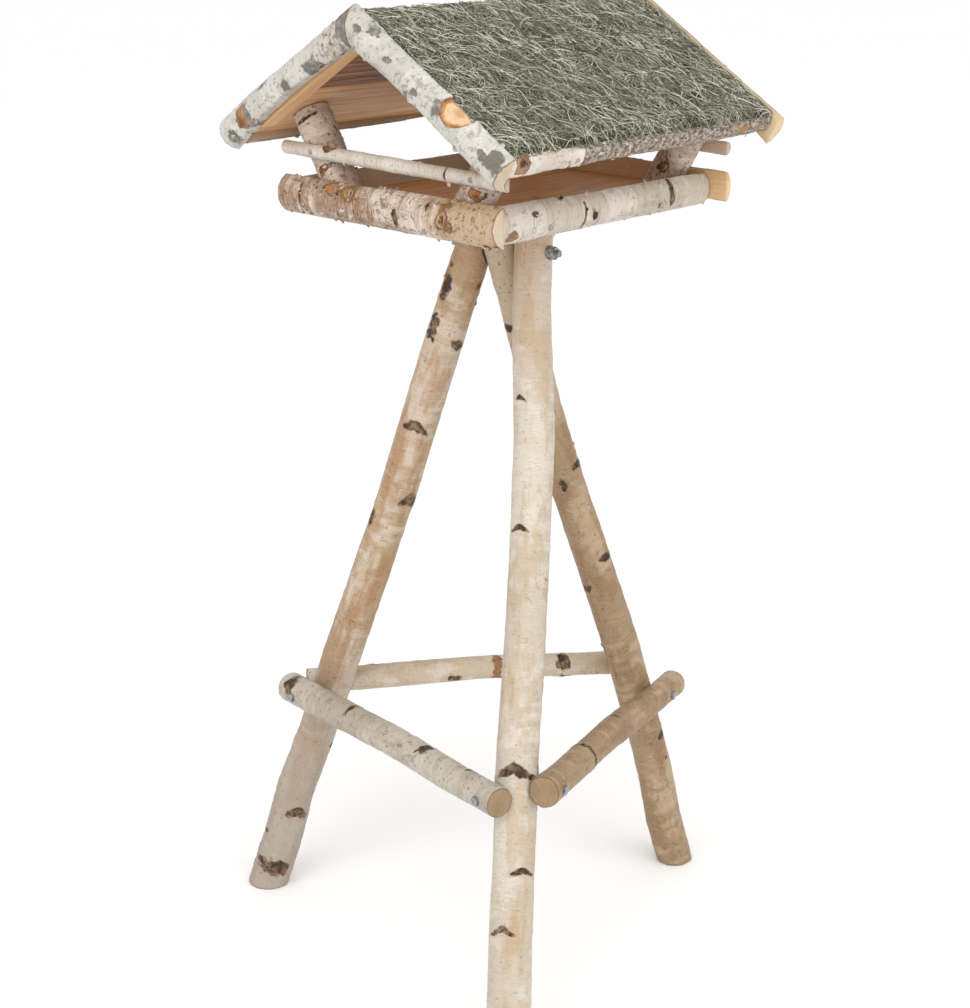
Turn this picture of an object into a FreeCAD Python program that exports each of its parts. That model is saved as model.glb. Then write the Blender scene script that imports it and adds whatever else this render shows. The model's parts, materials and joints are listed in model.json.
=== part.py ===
"""Roofed bird table of birch slabs and pine planks on a three-legged birch stand.

Sizes are in millimetres. X runs along the gables, Y along the ridge towards the rear gable
and Z up. While the pieces are made, X = Y = 0 is the middle of the tray and Z = 0 the ground.
At the end all of them move together, so that the origin lies on the ground in the middle of
the footprint's box.
"""
import FreeCAD
import Part
import math
import os

V = FreeCAD.Vector
UP = V(0, 0, 1)
DOWN = V(0, 0, -1)

# Stand: three poles on one bolt
bolt_height = 900.0
bolt_turn = 8.2
bolt_shift_x = 10.5
bolt_shift_y = -18.0

# A pole is straight at its foot, at the cross rails and at its head; its sweep holds the sideways
# offsets from the head's line of the foot, the low bend, the rails' seat and the three high bends
sweep_heading = 44.0
foot_top = 70.0
low_bend_height = 150.0
rail_seat_bottom_height = 240.0
rail_seat_top_height = 360.0
high_bend_heights = (470.0, 590.0, 700.0)
head_below_bolt = 58.0
leg_front_heading = -52.4
leg_front_lean = 17.9
leg_front_foot_diameter = 51.0
leg_front_head_diameter = 44.0
leg_front_sweep = (1.2, 0.7, 1.2, 5.0, 7.4, 8.2)
leg_left_heading = 201.2
leg_left_lean = 18.9
leg_left_foot_diameter = 51.0
leg_left_head_diameter = 44.5
leg_left_sweep = (0.0, -4.3, 0.0, 2.5, 3.6, 1.2)
leg_right_heading = 83.6
leg_right_lean = 19.4
leg_right_foot_diameter = 47.5
leg_right_head_diameter = 42.0
leg_right_sweep = (1.5, 7.5, 9.4, 4.5, -1.5, -4.5)
lap_front_depth = 0.2
lap_left_depth = 8.7
lap_clearance = 1.0

# Through bolt of the stand with its locking nut
bolt_diameter = 8.0
bolt_hole_clearance = 0.5
bolt_head_across_flats = 13.0
bolt_head_height = 5.3
nut_height = 8.0
nut_clearance = 0.05
washer_diameter = 16.0
washer_thickness = 1.6
washer_seat_depth = 0.8
washer_sides = 24
bore_sides = 16
bolt_tail = 5.0

# Cross rails of the stand, from their first leg to their second
rail_left_first_height = 307.5
rail_left_second_height = 321.0
rail_left_first_overhang = 33.0
rail_left_second_overhang = 22.0
rail_left_first_diameter = 38.0
rail_left_second_diameter = 35.0
rail_right_first_height = 287.0
rail_right_second_height = 328.0
rail_right_first_overhang = 50.0
rail_right_second_overhang = 19.0
rail_right_first_diameter = 34.0
rail_right_second_diameter = 36.0
rail_rear_first_height = 299.0
rail_rear_second_height = 312.0
rail_rear_first_overhang = 30.0
rail_rear_second_overhang = 14.0
rail_rear_first_diameter = 32.0
rail_rear_second_diameter = 30.0
rail_seat_depth = 1.5
rail_seat_length = 45.0
rail_bow = 4.0

# Hex-head screws of the cross rails
rail_screw_width = 6.0
rail_screw_bite = 14.0
rail_screw_across_flats = 10.0
rail_screw_head_height = 4.0
rail_screw_seat_depth = 1.5

# Tray floor
tray_underside = 940.0
floor_width = 278.0
floor_depth = 373.0
floor_thickness = 18.0
floor_seam = 1.0

# Tray rails: half-round slabs, flat face inward; front and rear ones run past the floor's sides
rail_mid_height = 22.0
front_rail_left_overhang = 27.0
front_rail_right_overhang = 33.5
front_rail_left_height = 43.0
front_rail_right_height = 45.0
front_rail_thickness = 17.5
rear_rail_left_overhang = 35.0
rear_rail_right_overhang = 34.0
rear_rail_left_height = 44.0
rear_rail_right_height = 37.0
rear_rail_thickness = 12.0
left_rail_front_height = 41.0
left_rail_rear_height = 40.0
left_rail_thickness = 16.0
right_rail_front_height = 41.5
right_rail_rear_height = 37.0
right_rail_drop = 4.5
right_rail_thickness = 16.0

# Roof: depths are measured square to the slope from the rakes' outer edge
apex_above_floor = 221.0
roof_pitch = 31.6
gable_reach = 224.0
rake_front_left_length = 259.0
rake_front_right_length = 263.0
rake_rear_left_length = 260.0
rake_rear_right_length = 258.0
rake_front_thickness = 19.0
rake_rear_thickness = 14.0
rake_rear_drop = 2.0
rake_width = 39.0
rake_waist_width = 30.0
rake_waist_at = 140.0
rake_waist_span = 240.0
thatch_depth = 5.5
thatch_thickness = 13.0
thatch_rolls = 7
thatch_roll_height = 3.5
thatch_end_gap = 0.5
plank_thickness = 10.0
plank_seam = 1.0
upper_plank_end = 138.0
lower_plank_end = 245.0
rafter_height = 7.0
rafter_width = 20.0
rafter_length = 212.0
eave_front_height = 28.5
eave_rear_height = 22.5
eave_thickness = 10.0
eave_front_depth = 24.5
eave_rear_depth = 20.5

# Posts: round logs square to the roof
post_diameter = 41.0
post_roof_distance = 194.7
post_front_inset = 26.5
post_rear_inset = 22.0

# Perches: half-round branches across the gables
perch_left_reach = 174.0
perch_right_reach = 173.0
perch_left_height = 54.0
perch_right_height = 48.0
perch_width = 16.0
perch_thickness = 7.8
perch_seat_depth = 1.5

# Nails and wood screws
nail_width = 2.4
nail_length = 40.0
nail_head_width = 6.0
nail_head_height = 1.4
nail_set = 1.2
short_nail_length = 28.0
plank_nail_length = 14.0
rake_nail_inset = 12.0
wood_screw_width = 4.5
wood_screw_head_width = 8.5
wood_screw_head_height = 2.0
post_screw_bite = 32.0
house_screw_bite = 28.0
head_sides = 6
pin_clearance = 0.1
cut_reach = 40.0
parallel_limit = 1e-6
large = 3000.0

floor_top = tray_underside + floor_thickness
apex_height = floor_top + apex_above_floor
plank_depth = thatch_depth + thatch_thickness
rafter_depth = plank_depth + plank_thickness
pitch = math.radians(roof_pitch)


# Plain helpers

def heading_vector(angle):
    """Level unit vector; heading 0 points along +X and 90 along +Y."""
    return V(math.cos(math.radians(angle)), math.sin(math.radians(angle)), 0)


def unit(vector):
    return V(vector).normalize()


def between(start, end, share):
    return start + (end - start) * share


def cylinder(start, direction, diameter, length):
    return Part.makeCylinder(diameter / 2, length, start, direction)


def prism(sides, start, direction, across_flats, height):
    """Regular prism from start along direction."""
    corner = across_flats / 2 / math.cos(math.pi / sides)
    turns = [2 * math.pi * i / sides for i in range(sides + 1)]
    outline = Part.makePolygon([V(corner * math.cos(turn), corner * math.sin(turn), 0) for turn in turns])
    solid = Part.Face(outline).extrude(UP * height)
    solid.Placement = FreeCAD.Placement(start, FreeCAD.Rotation(UP, direction))
    return solid


def between_levels(solid, low, high):
    """The part of a solid between two heights."""
    return solid.common(Part.makeBox(large, large, high - low, V(-large / 2, -large / 2, low)))


def round_timber(centres, direction, radii):
    """Round timber through circles that are all square to one direction, a stretch at a time."""
    circles = list(zip(centres, radii))
    stretches = []
    for (start, start_radius), (end, end_radius) in zip(circles, circles[1:]):
        if start_radius == end_radius and direction.isParallel(end - start, parallel_limit):
            stretches.append(cylinder(start, direction, 2 * start_radius, start.distanceToPoint(end)))
        else:
            rings = [Part.Wire(Part.Circle(centre, direction, radius).toShape())
                     for centre, radius in ((start, start_radius), (end, end_radius))]
            stretches.append(Part.makeLoft(rings, True, True))
    return stretches[0].multiFuse(stretches[1:])


def slab(start, end, chord, bulge, widths, thickness):
    """Half-round timber sawn from an even log: a flat face from start to end and a round back.

    It is as thick as stated at its wider end, and the log slants behind the saw to the narrower one.
    """
    radius = (max(widths) ** 2 / 4 + thickness ** 2) / (2 * thickness)
    start_axis, end_axis = [place - bulge * math.sqrt(radius ** 2 - width ** 2 / 4)
                            for place, width in zip((start, end), widths)]
    along = unit(end_axis - start_axis)
    length = start_axis.distanceToPoint(end_axis)
    timber = cylinder(start_axis - along * cut_reach, along, 2 * radius, length + 2 * cut_reach)
    corners = [start - chord * cut_reach, end - chord * cut_reach, end + chord * cut_reach,
               start + chord * cut_reach, start - chord * cut_reach]
    return timber.common(Part.Face(Part.makePolygon(corners)).extrude(bulge * cut_reach))


def end_thickness(widths, thickness):
    """Thickness of a slab at its narrower end."""
    radius = (max(widths) ** 2 / 4 + thickness ** 2) / (2 * thickness)
    return radius - math.sqrt(radius ** 2 - min(widths) ** 2 / 4)


def back_height(width, thickness, offset):
    """Height of a slab's round back over its flat face, at an offset from the middle."""
    radius = (width ** 2 / 4 + thickness ** 2) / (2 * thickness)
    return math.sqrt(radius ** 2 - offset ** 2) - radius + thickness


# Nails and screws

def pin(seat, direction, length, width, head_width, head_height):
    """A square shank under a flat head that rests at seat, and the room that both need in the wood."""
    shank = prism(4, seat, direction, width, length)
    head = prism(head_sides, seat - direction * head_height, direction, head_width, head_height)
    hole = prism(4, seat, direction, width + 2 * pin_clearance, length + pin_clearance)
    pocket_width = head_width + 2 * pin_clearance
    pocket = prism(head_sides, seat - direction * cut_reach, direction, pocket_width, cut_reach)
    return shank.fuse(head), hole.fuse(pocket)


def nail(seat, direction, length):
    return pin(seat, direction, length, nail_width, nail_head_width, nail_head_height)


def wood_screw(surface, direction, length):
    """Screw whose head is flush with the surface."""
    seat = surface + direction * wood_screw_head_height
    return pin(seat, direction, length - wood_screw_head_height,
               wood_screw_width, wood_screw_head_width, wood_screw_head_height)


class Fastenings:
    """Collects the pins of each kind and the room that they need in each piece."""

    def __init__(self):
        self.pins = {}
        self.rooms = {}

    def add(self, kind, pin_and_room, pieces):
        solid, room = pin_and_room
        self.pins.setdefault(kind, []).append(solid)
        for piece in pieces:
            self.rooms.setdefault(piece, []).append(room)

    def finish(self, parts):
        for piece, rooms in self.rooms.items():
            parts[piece] = parts[piece].cut(rooms)
        for kind, solids in self.pins.items():
            parts[kind] = Part.makeCompound(solids)


# Legs

class Pole:
    """Birch pole from a foot on the ground to its station on the bolt, swept sideways in between."""

    def __init__(self, station, heading, lean, foot_diameter, head_diameter, sweep):
        run = bolt_height * math.tan(math.radians(lean))
        self.station = station
        self.base = station + heading_vector(heading) * run - UP * bolt_height
        self.direction = unit(self.station - self.base)
        self.head_radius = head_diameter / 2
        spare = foot_diameter / 2
        slope = (foot_diameter - head_diameter) / 2 / bolt_height
        heights = (-spare, foot_top, low_bend_height, rail_seat_bottom_height, rail_seat_top_height,
                   *high_bend_heights, bolt_height - head_below_bolt, tray_underside + spare)
        foot, low_bend, seat, *high_bends = sweep
        self.offsets = (foot, foot, low_bend, seat, seat, *high_bends, 0, 0)
        seat_height = (rail_seat_bottom_height + rail_seat_top_height) / 2
        seat_radius = self.head_radius + slope * (bolt_height - seat_height)
        bend_radii = [self.head_radius + slope * (bolt_height - height) for height in high_bend_heights]
        low_radius = (spare + seat_radius) / 2
        self.radii = (spare, spare, low_radius, seat_radius, seat_radius,
                      *bend_radii, self.head_radius, self.head_radius)
        self.heights = heights

    def at(self, height, values):
        """A value at a height, between those of the circles below and above it."""
        for i, (low, high) in enumerate(zip(self.heights, self.heights[1:])):
            if low <= height <= high:
                return between(values[i], values[i + 1], (height - low) / (high - low))

    def centre(self, height):
        sideways = heading_vector(sweep_heading) * self.at(height, self.offsets)
        return between(self.base, self.station, height / bolt_height) + sideways

    def radius(self, height):
        return self.at(height, self.radii)

    def solid(self):
        """The pole, sawn level at the ground and under the tray."""
        timber = round_timber([self.centre(height) for height in self.heights], self.direction, self.radii)
        return between_levels(timber, 0, tray_underside)


def pole_direction(heading, lean):
    """Unit vector from a leg's foot up to the bolt."""
    return unit(UP - heading_vector(heading) * math.tan(math.radians(lean)))


def lap_normal(first, second):
    """Unit vector square to two poles, on the side that the bolt's nut is on."""
    normal = unit(first.cross(second))
    return normal if normal.dot(heading_vector(bolt_turn)) > 0 else -normal


def lap_room(pole, other, normal):
    """What a pole gives up where the other one passes: the other's width, up to the plane between them."""
    gap = (other.station - pole.station).dot(normal)
    side = normal if gap > 0 else -normal
    plane = (abs(gap) + other.head_radius - pole.head_radius) / 2
    width = 2 * (other.head_radius + lap_clearance)
    across = unit(other.direction.cross(side))
    corner = other.station - side * plane - across * (width / 2) - other.direction * (large / 2)
    room = Part.makeBox(large, width, large)
    room.Placement = FreeCAD.Placement(corner, FreeCAD.Rotation(side, across, other.direction, "XYZ"))
    return room


def make_legs(parts):
    """The three poles side by side on the bolt, lapped just enough to pass each other."""
    along = heading_vector(bolt_turn)
    middle = V(bolt_shift_x, bolt_shift_y, bolt_height)
    right_direction = pole_direction(leg_right_heading, leg_right_lean)
    front_normal = lap_normal(right_direction, pole_direction(leg_front_heading, leg_front_lean))
    left_normal = lap_normal(right_direction, pole_direction(leg_left_heading, leg_left_lean))
    front_gap = (leg_right_head_diameter + leg_front_head_diameter) / 2 - 2 * lap_front_depth
    left_gap = (leg_right_head_diameter + leg_left_head_diameter) / 2 - 2 * lap_left_depth
    right = Pole(middle, leg_right_heading, leg_right_lean,
                 leg_right_foot_diameter, leg_right_head_diameter, leg_right_sweep)
    front = Pole(middle + along * (front_gap / front_normal.dot(along)), leg_front_heading, leg_front_lean,
                 leg_front_foot_diameter, leg_front_head_diameter, leg_front_sweep)
    left = Pole(middle - along * (left_gap / left_normal.dot(along)), leg_left_heading, leg_left_lean,
                leg_left_foot_diameter, leg_left_head_diameter, leg_left_sweep)
    parts["leg_front"] = front.solid().cut(lap_room(front, right, front_normal))
    parts["leg_left"] = left.solid().cut(lap_room(left, right, left_normal))
    right_laps = [lap_room(right, front, front_normal), lap_room(right, left, left_normal)]
    parts["leg_right"] = right.solid().cut(right_laps)
    return {"leg_front": front, "leg_left": left, "leg_right": right}


# Through bolt with its nut and washers

def bolt_seat(pole, outward):
    """Point on the bolt's axis where a washer seats on the side of an outer leg."""
    slant = math.sqrt(1 - pole.direction.dot(outward) ** 2)
    return pole.station + outward * (pole.head_radius / slant - washer_seat_depth)


def make_bolt(poles, parts):
    along = heading_vector(bolt_turn)
    nut_seat = bolt_seat(poles["leg_front"], along)
    head_seat = bolt_seat(poles["leg_left"], -along)
    hole_diameter = bolt_diameter + 2 * bolt_hole_clearance
    spot_diameter = washer_diameter + 2 * bolt_hole_clearance
    grip = head_seat.distanceToPoint(nut_seat)
    hole = cylinder(head_seat - along * cut_reach, along, hole_diameter, grip + 2 * cut_reach)
    nut_spot = cylinder(nut_seat, along, spot_diameter, cut_reach)
    head_spot = cylinder(head_seat, -along, spot_diameter, cut_reach)
    for name in poles:
        parts[name] = parts[name].cut([hole, nut_spot, head_spot])
    washers = []
    for seat, outward in ((nut_seat, along), (head_seat, -along)):
        disc = prism(washer_sides, seat, outward, washer_diameter, washer_thickness)
        washers.append(disc.cut(prism(bore_sides, seat, outward, hole_diameter, washer_thickness)))
    parts["tripod_washers"] = Part.makeCompound(washers)
    head_start = head_seat - along * washer_thickness
    nut_start = nut_seat + along * washer_thickness
    rod = cylinder(head_start, along, bolt_diameter, grip + 2 * washer_thickness + nut_height + bolt_tail)
    parts["tripod_bolt"] = rod.fuse(prism(6, head_start, -along, bolt_head_across_flats, bolt_head_height))
    nut_bore = prism(bore_sides, nut_start, along, bolt_diameter + 2 * nut_clearance, nut_height)
    parts["tripod_nut"] = prism(6, nut_start, along, bolt_head_across_flats, nut_height).cut(nut_bore)


# Cross rails, each on the outside of two legs

def make_cross_rail(legs, heights, overhangs, diameters, middle, fastenings, pieces):
    """A slightly bowed pole laid against two legs, held by a screw through it into each of them."""
    crossings = [leg.centre(height) for leg, height in zip(legs, heights)]
    outward = unit((crossings[1] - crossings[0]).cross(UP))
    if outward.dot(crossings[0] - middle) < 0:
        outward = -outward
    radii = [diameter / 2 for diameter in diameters]
    centres = [crossing + outward * (leg.radius(height) + radius - rail_seat_depth)
               for crossing, leg, height, radius in zip(crossings, legs, heights, radii)]
    along = unit(centres[1] - centres[0])
    course = [centres[0] - along * overhangs[0], centres[0] + along * rail_seat_length,
              (centres[0] + centres[1]) / 2 + UP * rail_bow,
              centres[1] - along * rail_seat_length, centres[1] + along * overhangs[1]]
    course_radii = (radii[0], radii[0], sum(radii) / 2, radii[1], radii[1])
    for centre, radius, leg_name in zip(centres, radii, pieces[1:]):
        seat = centre + outward * (radius - rail_screw_seat_depth)
        length = 2 * radius + rail_screw_bite
        head = prism(6, seat, outward, rail_screw_across_flats, rail_screw_head_height)
        screw = prism(4, seat, -outward, rail_screw_width, length).fuse(head)
        hole = prism(4, seat, -outward, rail_screw_width + 2 * pin_clearance, length + pin_clearance)
        pocket_width = rail_screw_across_flats + 2 * pin_clearance
        room = hole.fuse(prism(6, seat, outward, pocket_width, cut_reach))
        fastenings.add("cross_rail_screws", (screw, room), (pieces[0], leg_name))
    return round_timber(course, along, course_radii)


def make_cross_rails(poles, parts, fastenings):
    middle = sum((pole.base for pole in poles.values()), V()) / len(poles)
    plans = {
        "cross_rail_left": ("leg_left", "leg_front",
                            (rail_left_first_height, rail_left_second_height),
                            (rail_left_first_overhang, rail_left_second_overhang),
                            (rail_left_first_diameter, rail_left_second_diameter)),
        "cross_rail_right": ("leg_right", "leg_front",
                             (rail_right_first_height, rail_right_second_height),
                             (rail_right_first_overhang, rail_right_second_overhang),
                             (rail_right_first_diameter, rail_right_second_diameter)),
        "cross_rail_rear": ("leg_left", "leg_right",
                            (rail_rear_first_height, rail_rear_second_height),
                            (rail_rear_first_overhang, rail_rear_second_overhang),
                            (rail_rear_first_diameter, rail_rear_second_diameter)),
    }
    for name, (first, second, heights, overhangs, diameters) in plans.items():
        legs = (poles[first], poles[second])
        rail = make_cross_rail(legs, heights, overhangs, diameters, middle, fastenings, (name, first, second))
        parts[name] = rail.cut([parts[first], parts[second]])


# Tray

def make_tray(parts, fastenings):
    """Two floor planks with a slab nailed along each edge."""
    half_width = floor_width / 2
    half_depth = floor_depth / 2
    plank_width = half_width - floor_seam / 2
    middle = tray_underside + rail_mid_height
    for name, start_x in (("floor_plank_left", -half_width), ("floor_plank_right", floor_seam / 2)):
        corner = V(start_x, -half_depth, tray_underside)
        parts[name] = Part.makeBox(plank_width, floor_depth, floor_thickness, corner)
    rails = {
        "tray_rail_front": (V(-half_width - front_rail_left_overhang, -half_depth, middle),
                            V(half_width + front_rail_right_overhang, -half_depth, middle),
                            V(0, -1, 0), (front_rail_left_height, front_rail_right_height),
                            front_rail_thickness),
        "tray_rail_rear": (V(-half_width - rear_rail_left_overhang, half_depth, middle),
                           V(half_width + rear_rail_right_overhang, half_depth, middle),
                           V(0, 1, 0), (rear_rail_left_height, rear_rail_right_height),
                           rear_rail_thickness),
        "tray_rail_left": (V(-half_width, -half_depth, middle), V(-half_width, half_depth, middle),
                           V(-1, 0, 0), (left_rail_front_height, left_rail_rear_height),
                           left_rail_thickness),
        "tray_rail_right": (V(half_width, -half_depth, middle - right_rail_drop),
                            V(half_width, half_depth, middle - right_rail_drop),
                            V(1, 0, 0), (right_rail_front_height, right_rail_rear_height),
                            right_rail_thickness),
    }
    nail_level = tray_underside + floor_thickness / 2
    for name, (start, end, outward, heights, thickness) in rails.items():
        parts[name] = slab(start, end, UP, outward, heights, thickness)
        across = unit(end - start)
        along_planks = abs(across.y) > abs(across.x)
        spacing = floor_depth / 4 if along_planks else plank_width / 2
        foot = outward * (half_width if along_planks else half_depth) + UP * nail_level
        height = back_height(max(heights), thickness, start.z - nail_level)
        for step in (-1, 1):
            seat = foot + across * (step * spacing) + outward * (height - nail_set)
            plank = "floor_plank_left" if seat.x < 0 else "floor_plank_right"
            fastenings.add("tray_rail_nails", nail(seat, -outward, nail_length), (name, plank))


# Roof

def roof_point(side, along, depth, y):
    """Point on a slope: side is -1 left or 1 right, along runs down the slope from the apex."""
    x = along * math.cos(pitch) - depth * math.sin(pitch)
    z = apex_height - along * math.sin(pitch) - depth * math.cos(pitch)
    return V(side * x, y, z)


def down_slope(side):
    return V(side * math.cos(pitch), 0, -math.sin(pitch))


def into_roof(side):
    """Unit vector square to the slope, from the outside in."""
    return V(-side * math.sin(pitch), 0, -math.cos(pitch))


def slope_board(side, start, end, depth, thickness, ends):
    """Board on a slope between two ends along Y; a start of None is a mitre on the ridge."""
    near, far = sorted(ends)
    upper, lower = depth, depth + thickness
    starts = [start if start is not None else level * math.tan(pitch) for level in (upper, lower)]
    corners = [roof_point(side, starts[0], upper, near), roof_point(side, end, upper, near),
               roof_point(side, end, lower, near), roof_point(side, starts[1], lower, near)]
    return Part.Face(Part.makePolygon(corners + corners[:1])).extrude(V(0, far - near, 0))


def make_thatch(side, ends):
    """Hay laid on a slope in low rolls that run along the ridge."""
    near, far = sorted(ends)
    valley = thatch_depth + thatch_roll_height
    first, last = valley * math.tan(pitch), lower_plank_end
    stations = [between(first, last, i / thatch_rolls) for i in range(thatch_rolls + 1)]
    edges = []
    for start, end in zip(stations, stations[1:]):
        crest = roof_point(side, (start + end) / 2, thatch_depth, near)
        foot, toe = [roof_point(side, along, valley, near) for along in (start, end)]
        edges.append(Part.Arc(foot, crest, toe).toShape())
    base = [roof_point(side, last, valley, near), roof_point(side, last, plank_depth, near),
            roof_point(side, plank_depth * math.tan(pitch), plank_depth, near),
            roof_point(side, first, valley, near)]
    edges += Part.makePolygon(base).Edges
    return Part.Face(Part.Wire(Part.__sortEdges__(edges))).extrude(V(0, far - near, 0))


def make_rake(side, gable, length, thickness, drop):
    """Slab along a gable edge: straight outside, hollow inside, with a plumb cut at the apex."""
    low, high = [roof_point(side, along, rake_width / 2 + drop, gable * gable_reach)
                 for along in (length, -rake_width)]
    rake = slab(low, high, -into_roof(side), V(0, gable, 0), (rake_width, rake_width), thickness)
    hollow = rake_width - rake_waist_width
    radius = (rake_waist_span ** 2 / 4 + hollow ** 2) / (2 * hollow)
    middle = roof_point(side, rake_waist_at, rake_waist_width + drop + radius, gable * gable_reach)
    scoop = cylinder(middle, V(0, gable, 0), 2 * radius, cut_reach)
    keep = Part.makeBox(large, large, large, V(0 if side > 0 else -large, -large / 2, 0))
    return rake.common(keep).cut(scoop)


def add_rake_nails(side, gable, thickness, drop, names, fastenings):
    """Two nails through a rake into its rafter."""
    level = rafter_depth + rafter_height / 2
    height = back_height(rake_width, thickness, level - drop - rake_width / 2)
    for along in (level * math.tan(pitch) + rake_nail_inset, rafter_length - rake_nail_inset):
        seat = roof_point(side, along, level, gable * (gable_reach + height - nail_set))
        fastenings.add("rake_nails", nail(seat, V(0, -gable, 0), short_nail_length), names)


def add_plank_nails(side, gable, planks, rafter, fastenings):
    """A nail through each plank into a rafter."""
    for plank, along in zip(planks, (upper_plank_end / 2, (upper_plank_end + rafter_length) / 2)):
        y = gable * (gable_reach - rafter_width / 2)
        seat = roof_point(side, along, plank_depth + nail_head_height, y)
        fastenings.add("roof_plank_nails", nail(seat, into_roof(side), plank_nail_length), (plank, rafter))


def make_eave(side, parts, name, plank, fastenings):
    """Thin slab nailed along the lower edge of a slope, between the rakes, taller towards the front."""
    depths = (eave_front_depth, eave_rear_depth)
    heights = (eave_front_height, eave_rear_height)
    ends = (-gable_reach, gable_reach)
    front, rear = [roof_point(side, lower_plank_end, depth, y) for depth, y in zip(depths, ends)]
    parts[name] = slab(front, rear, -into_roof(side), down_slope(side), heights, eave_thickness)
    level = plank_depth + plank_thickness / 2
    for share in (1 / 4, 3 / 4):
        place = between(front, rear, share)
        depth = between(eave_front_depth, eave_rear_depth, share)
        height = back_height(max(heights), eave_thickness, level - depth)
        inset = between(0, eave_thickness - end_thickness(heights, eave_thickness), share) + nail_set
        seat = roof_point(side, lower_plank_end + height - inset, level, place.y)
        fastenings.add("eave_nails", nail(seat, -down_slope(side), short_nail_length), (name, plank))


def make_roof(parts, fastenings):
    """Planks and hay on each slope, held by rafters, rakes and an eave slab."""
    rakes = {"rake_front_left": (rake_front_left_length, rake_front_thickness, 0),
             "rake_front_right": (rake_front_right_length, rake_front_thickness, 0),
             "rake_rear_left": (rake_rear_left_length, rake_rear_thickness, rake_rear_drop),
             "rake_rear_right": (rake_rear_right_length, rake_rear_thickness, rake_rear_drop)}
    ends = (-gable_reach, gable_reach)
    thatch_ends = (thatch_end_gap - gable_reach, gable_reach - thatch_end_gap)
    for side_name, side in (("left", -1), ("right", 1)):
        planks = ["roof_plank_%s_%s" % (side_name, course) for course in ("upper", "lower")]
        parts[planks[0]] = slope_board(side, None, upper_plank_end, plank_depth, plank_thickness, ends)
        parts[planks[1]] = slope_board(side, upper_plank_end + plank_seam, lower_plank_end,
                                       plank_depth, plank_thickness, ends)
        parts["thatch_" + side_name] = make_thatch(side, thatch_ends)
        make_eave(side, parts, "eave_slab_" + side_name, planks[1], fastenings)
        for gable_name, gable in (("front", -1), ("rear", 1)):
            rafter = "rafter_%s_%s" % (gable_name, side_name)
            rake = "rake_%s_%s" % (gable_name, side_name)
            rafter_ends = (gable * gable_reach, gable * (gable_reach - rafter_width))
            parts[rafter] = slope_board(side, None, rafter_length, rafter_depth, rafter_height, rafter_ends)
            length, thickness, drop = rakes[rake]
            parts[rake] = make_rake(side, gable, length, thickness, drop)
            add_rake_nails(side, gable, thickness, drop, (rake, rafter), fastenings)
            add_plank_nails(side, gable, planks, rafter, fastenings)


# Posts and perches

def post_top(side, y):
    """Middle of a post's top, on the planks' underside."""
    return roof_point(side, post_roof_distance, rafter_depth, y)


def make_post(side, y):
    """Round log, square to the planks at its top and sawn level on the floor."""
    top = post_top(side, y)
    length = (top.z - floor_top) / math.cos(pitch)
    timber = cylinder(top, into_roof(side), post_diameter, length + post_diameter)
    return between_levels(timber, floor_top, apex_height)


def post_middle(side, y, level):
    """Middle of a post at a height."""
    top = post_top(side, y)
    return top + into_roof(side) * ((top.z - level) / math.cos(pitch))


def perch_end(side, y):
    """Middle of a perch's flat face at its left or right end."""
    if side < 0:
        return V(-perch_left_reach, y, floor_top + perch_left_height)
    return V(perch_right_reach, y, floor_top + perch_right_height)


def make_perch(gable, y):
    """Thin half-round branch, flat side towards the posts."""
    left, right = perch_end(-1, y), perch_end(1, y)
    upright = unit((right - left).cross(V(0, 1, 0)))
    return slab(left, right, upright, V(0, gable, 0), (perch_width, perch_width), perch_thickness)


def add_post_screws(side, y, post, planks, fastenings):
    """A screw down through the roof into a post's top and one up through the floor into its foot."""
    top = post_top(side, y) - into_roof(side) * plank_thickness
    fastenings.add("post_roof_screws", wood_screw(top, into_roof(side), plank_thickness + post_screw_bite),
                   (post, planks[0]))
    foot = post_middle(side, y, floor_top)
    flush = V(foot.x, foot.y, tray_underside)
    fastenings.add("post_floor_screws", wood_screw(flush, UP, floor_thickness + post_screw_bite),
                   (post, planks[1]))


def make_posts(parts, fastenings):
    """Four posts with a perch let into each pair."""
    front_y = post_front_inset - floor_depth / 2
    rear_y = floor_depth / 2 - post_rear_inset
    for gable_name, gable, y in (("front", -1, front_y), ("rear", 1, rear_y)):
        perch_name = "perch_" + gable_name
        perch_y = y + gable * (post_diameter / 2 - perch_seat_depth)
        perch = make_perch(gable, perch_y)
        parts[perch_name] = perch
        for side_name, side in (("left", -1), ("right", 1)):
            post = "post_%s_%s" % (gable_name, side_name)
            parts[post] = make_post(side, y).cut(perch)
            planks = ("roof_plank_%s_lower" % side_name, "floor_plank_%s" % side_name)
            add_post_screws(side, y, post, planks, fastenings)
            left, right = perch_end(-1, perch_y), perch_end(1, perch_y)
            middle = post_middle(side, y, (left.z + right.z) / 2)
            place = between(left, right, (middle.x - left.x) / (right.x - left.x))
            seat = place + V(0, gable, 0) * (perch_thickness - nail_set)
            fastenings.add("perch_nails", nail(seat, V(0, -gable, 0), short_nail_length), (perch_name, post))


def add_house_screws(poles, fastenings):
    """A screw down through the floor into the top of each leg."""
    for pole in poles.values():
        top = pole.centre(tray_underside)
        plank = "floor_plank_left" if top.x < 0 else "floor_plank_right"
        screw = wood_screw(V(top.x, top.y, floor_top), DOWN, floor_thickness + house_screw_bite)
        fastenings.add("house_screws", screw, [plank] + list(poles))


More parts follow.
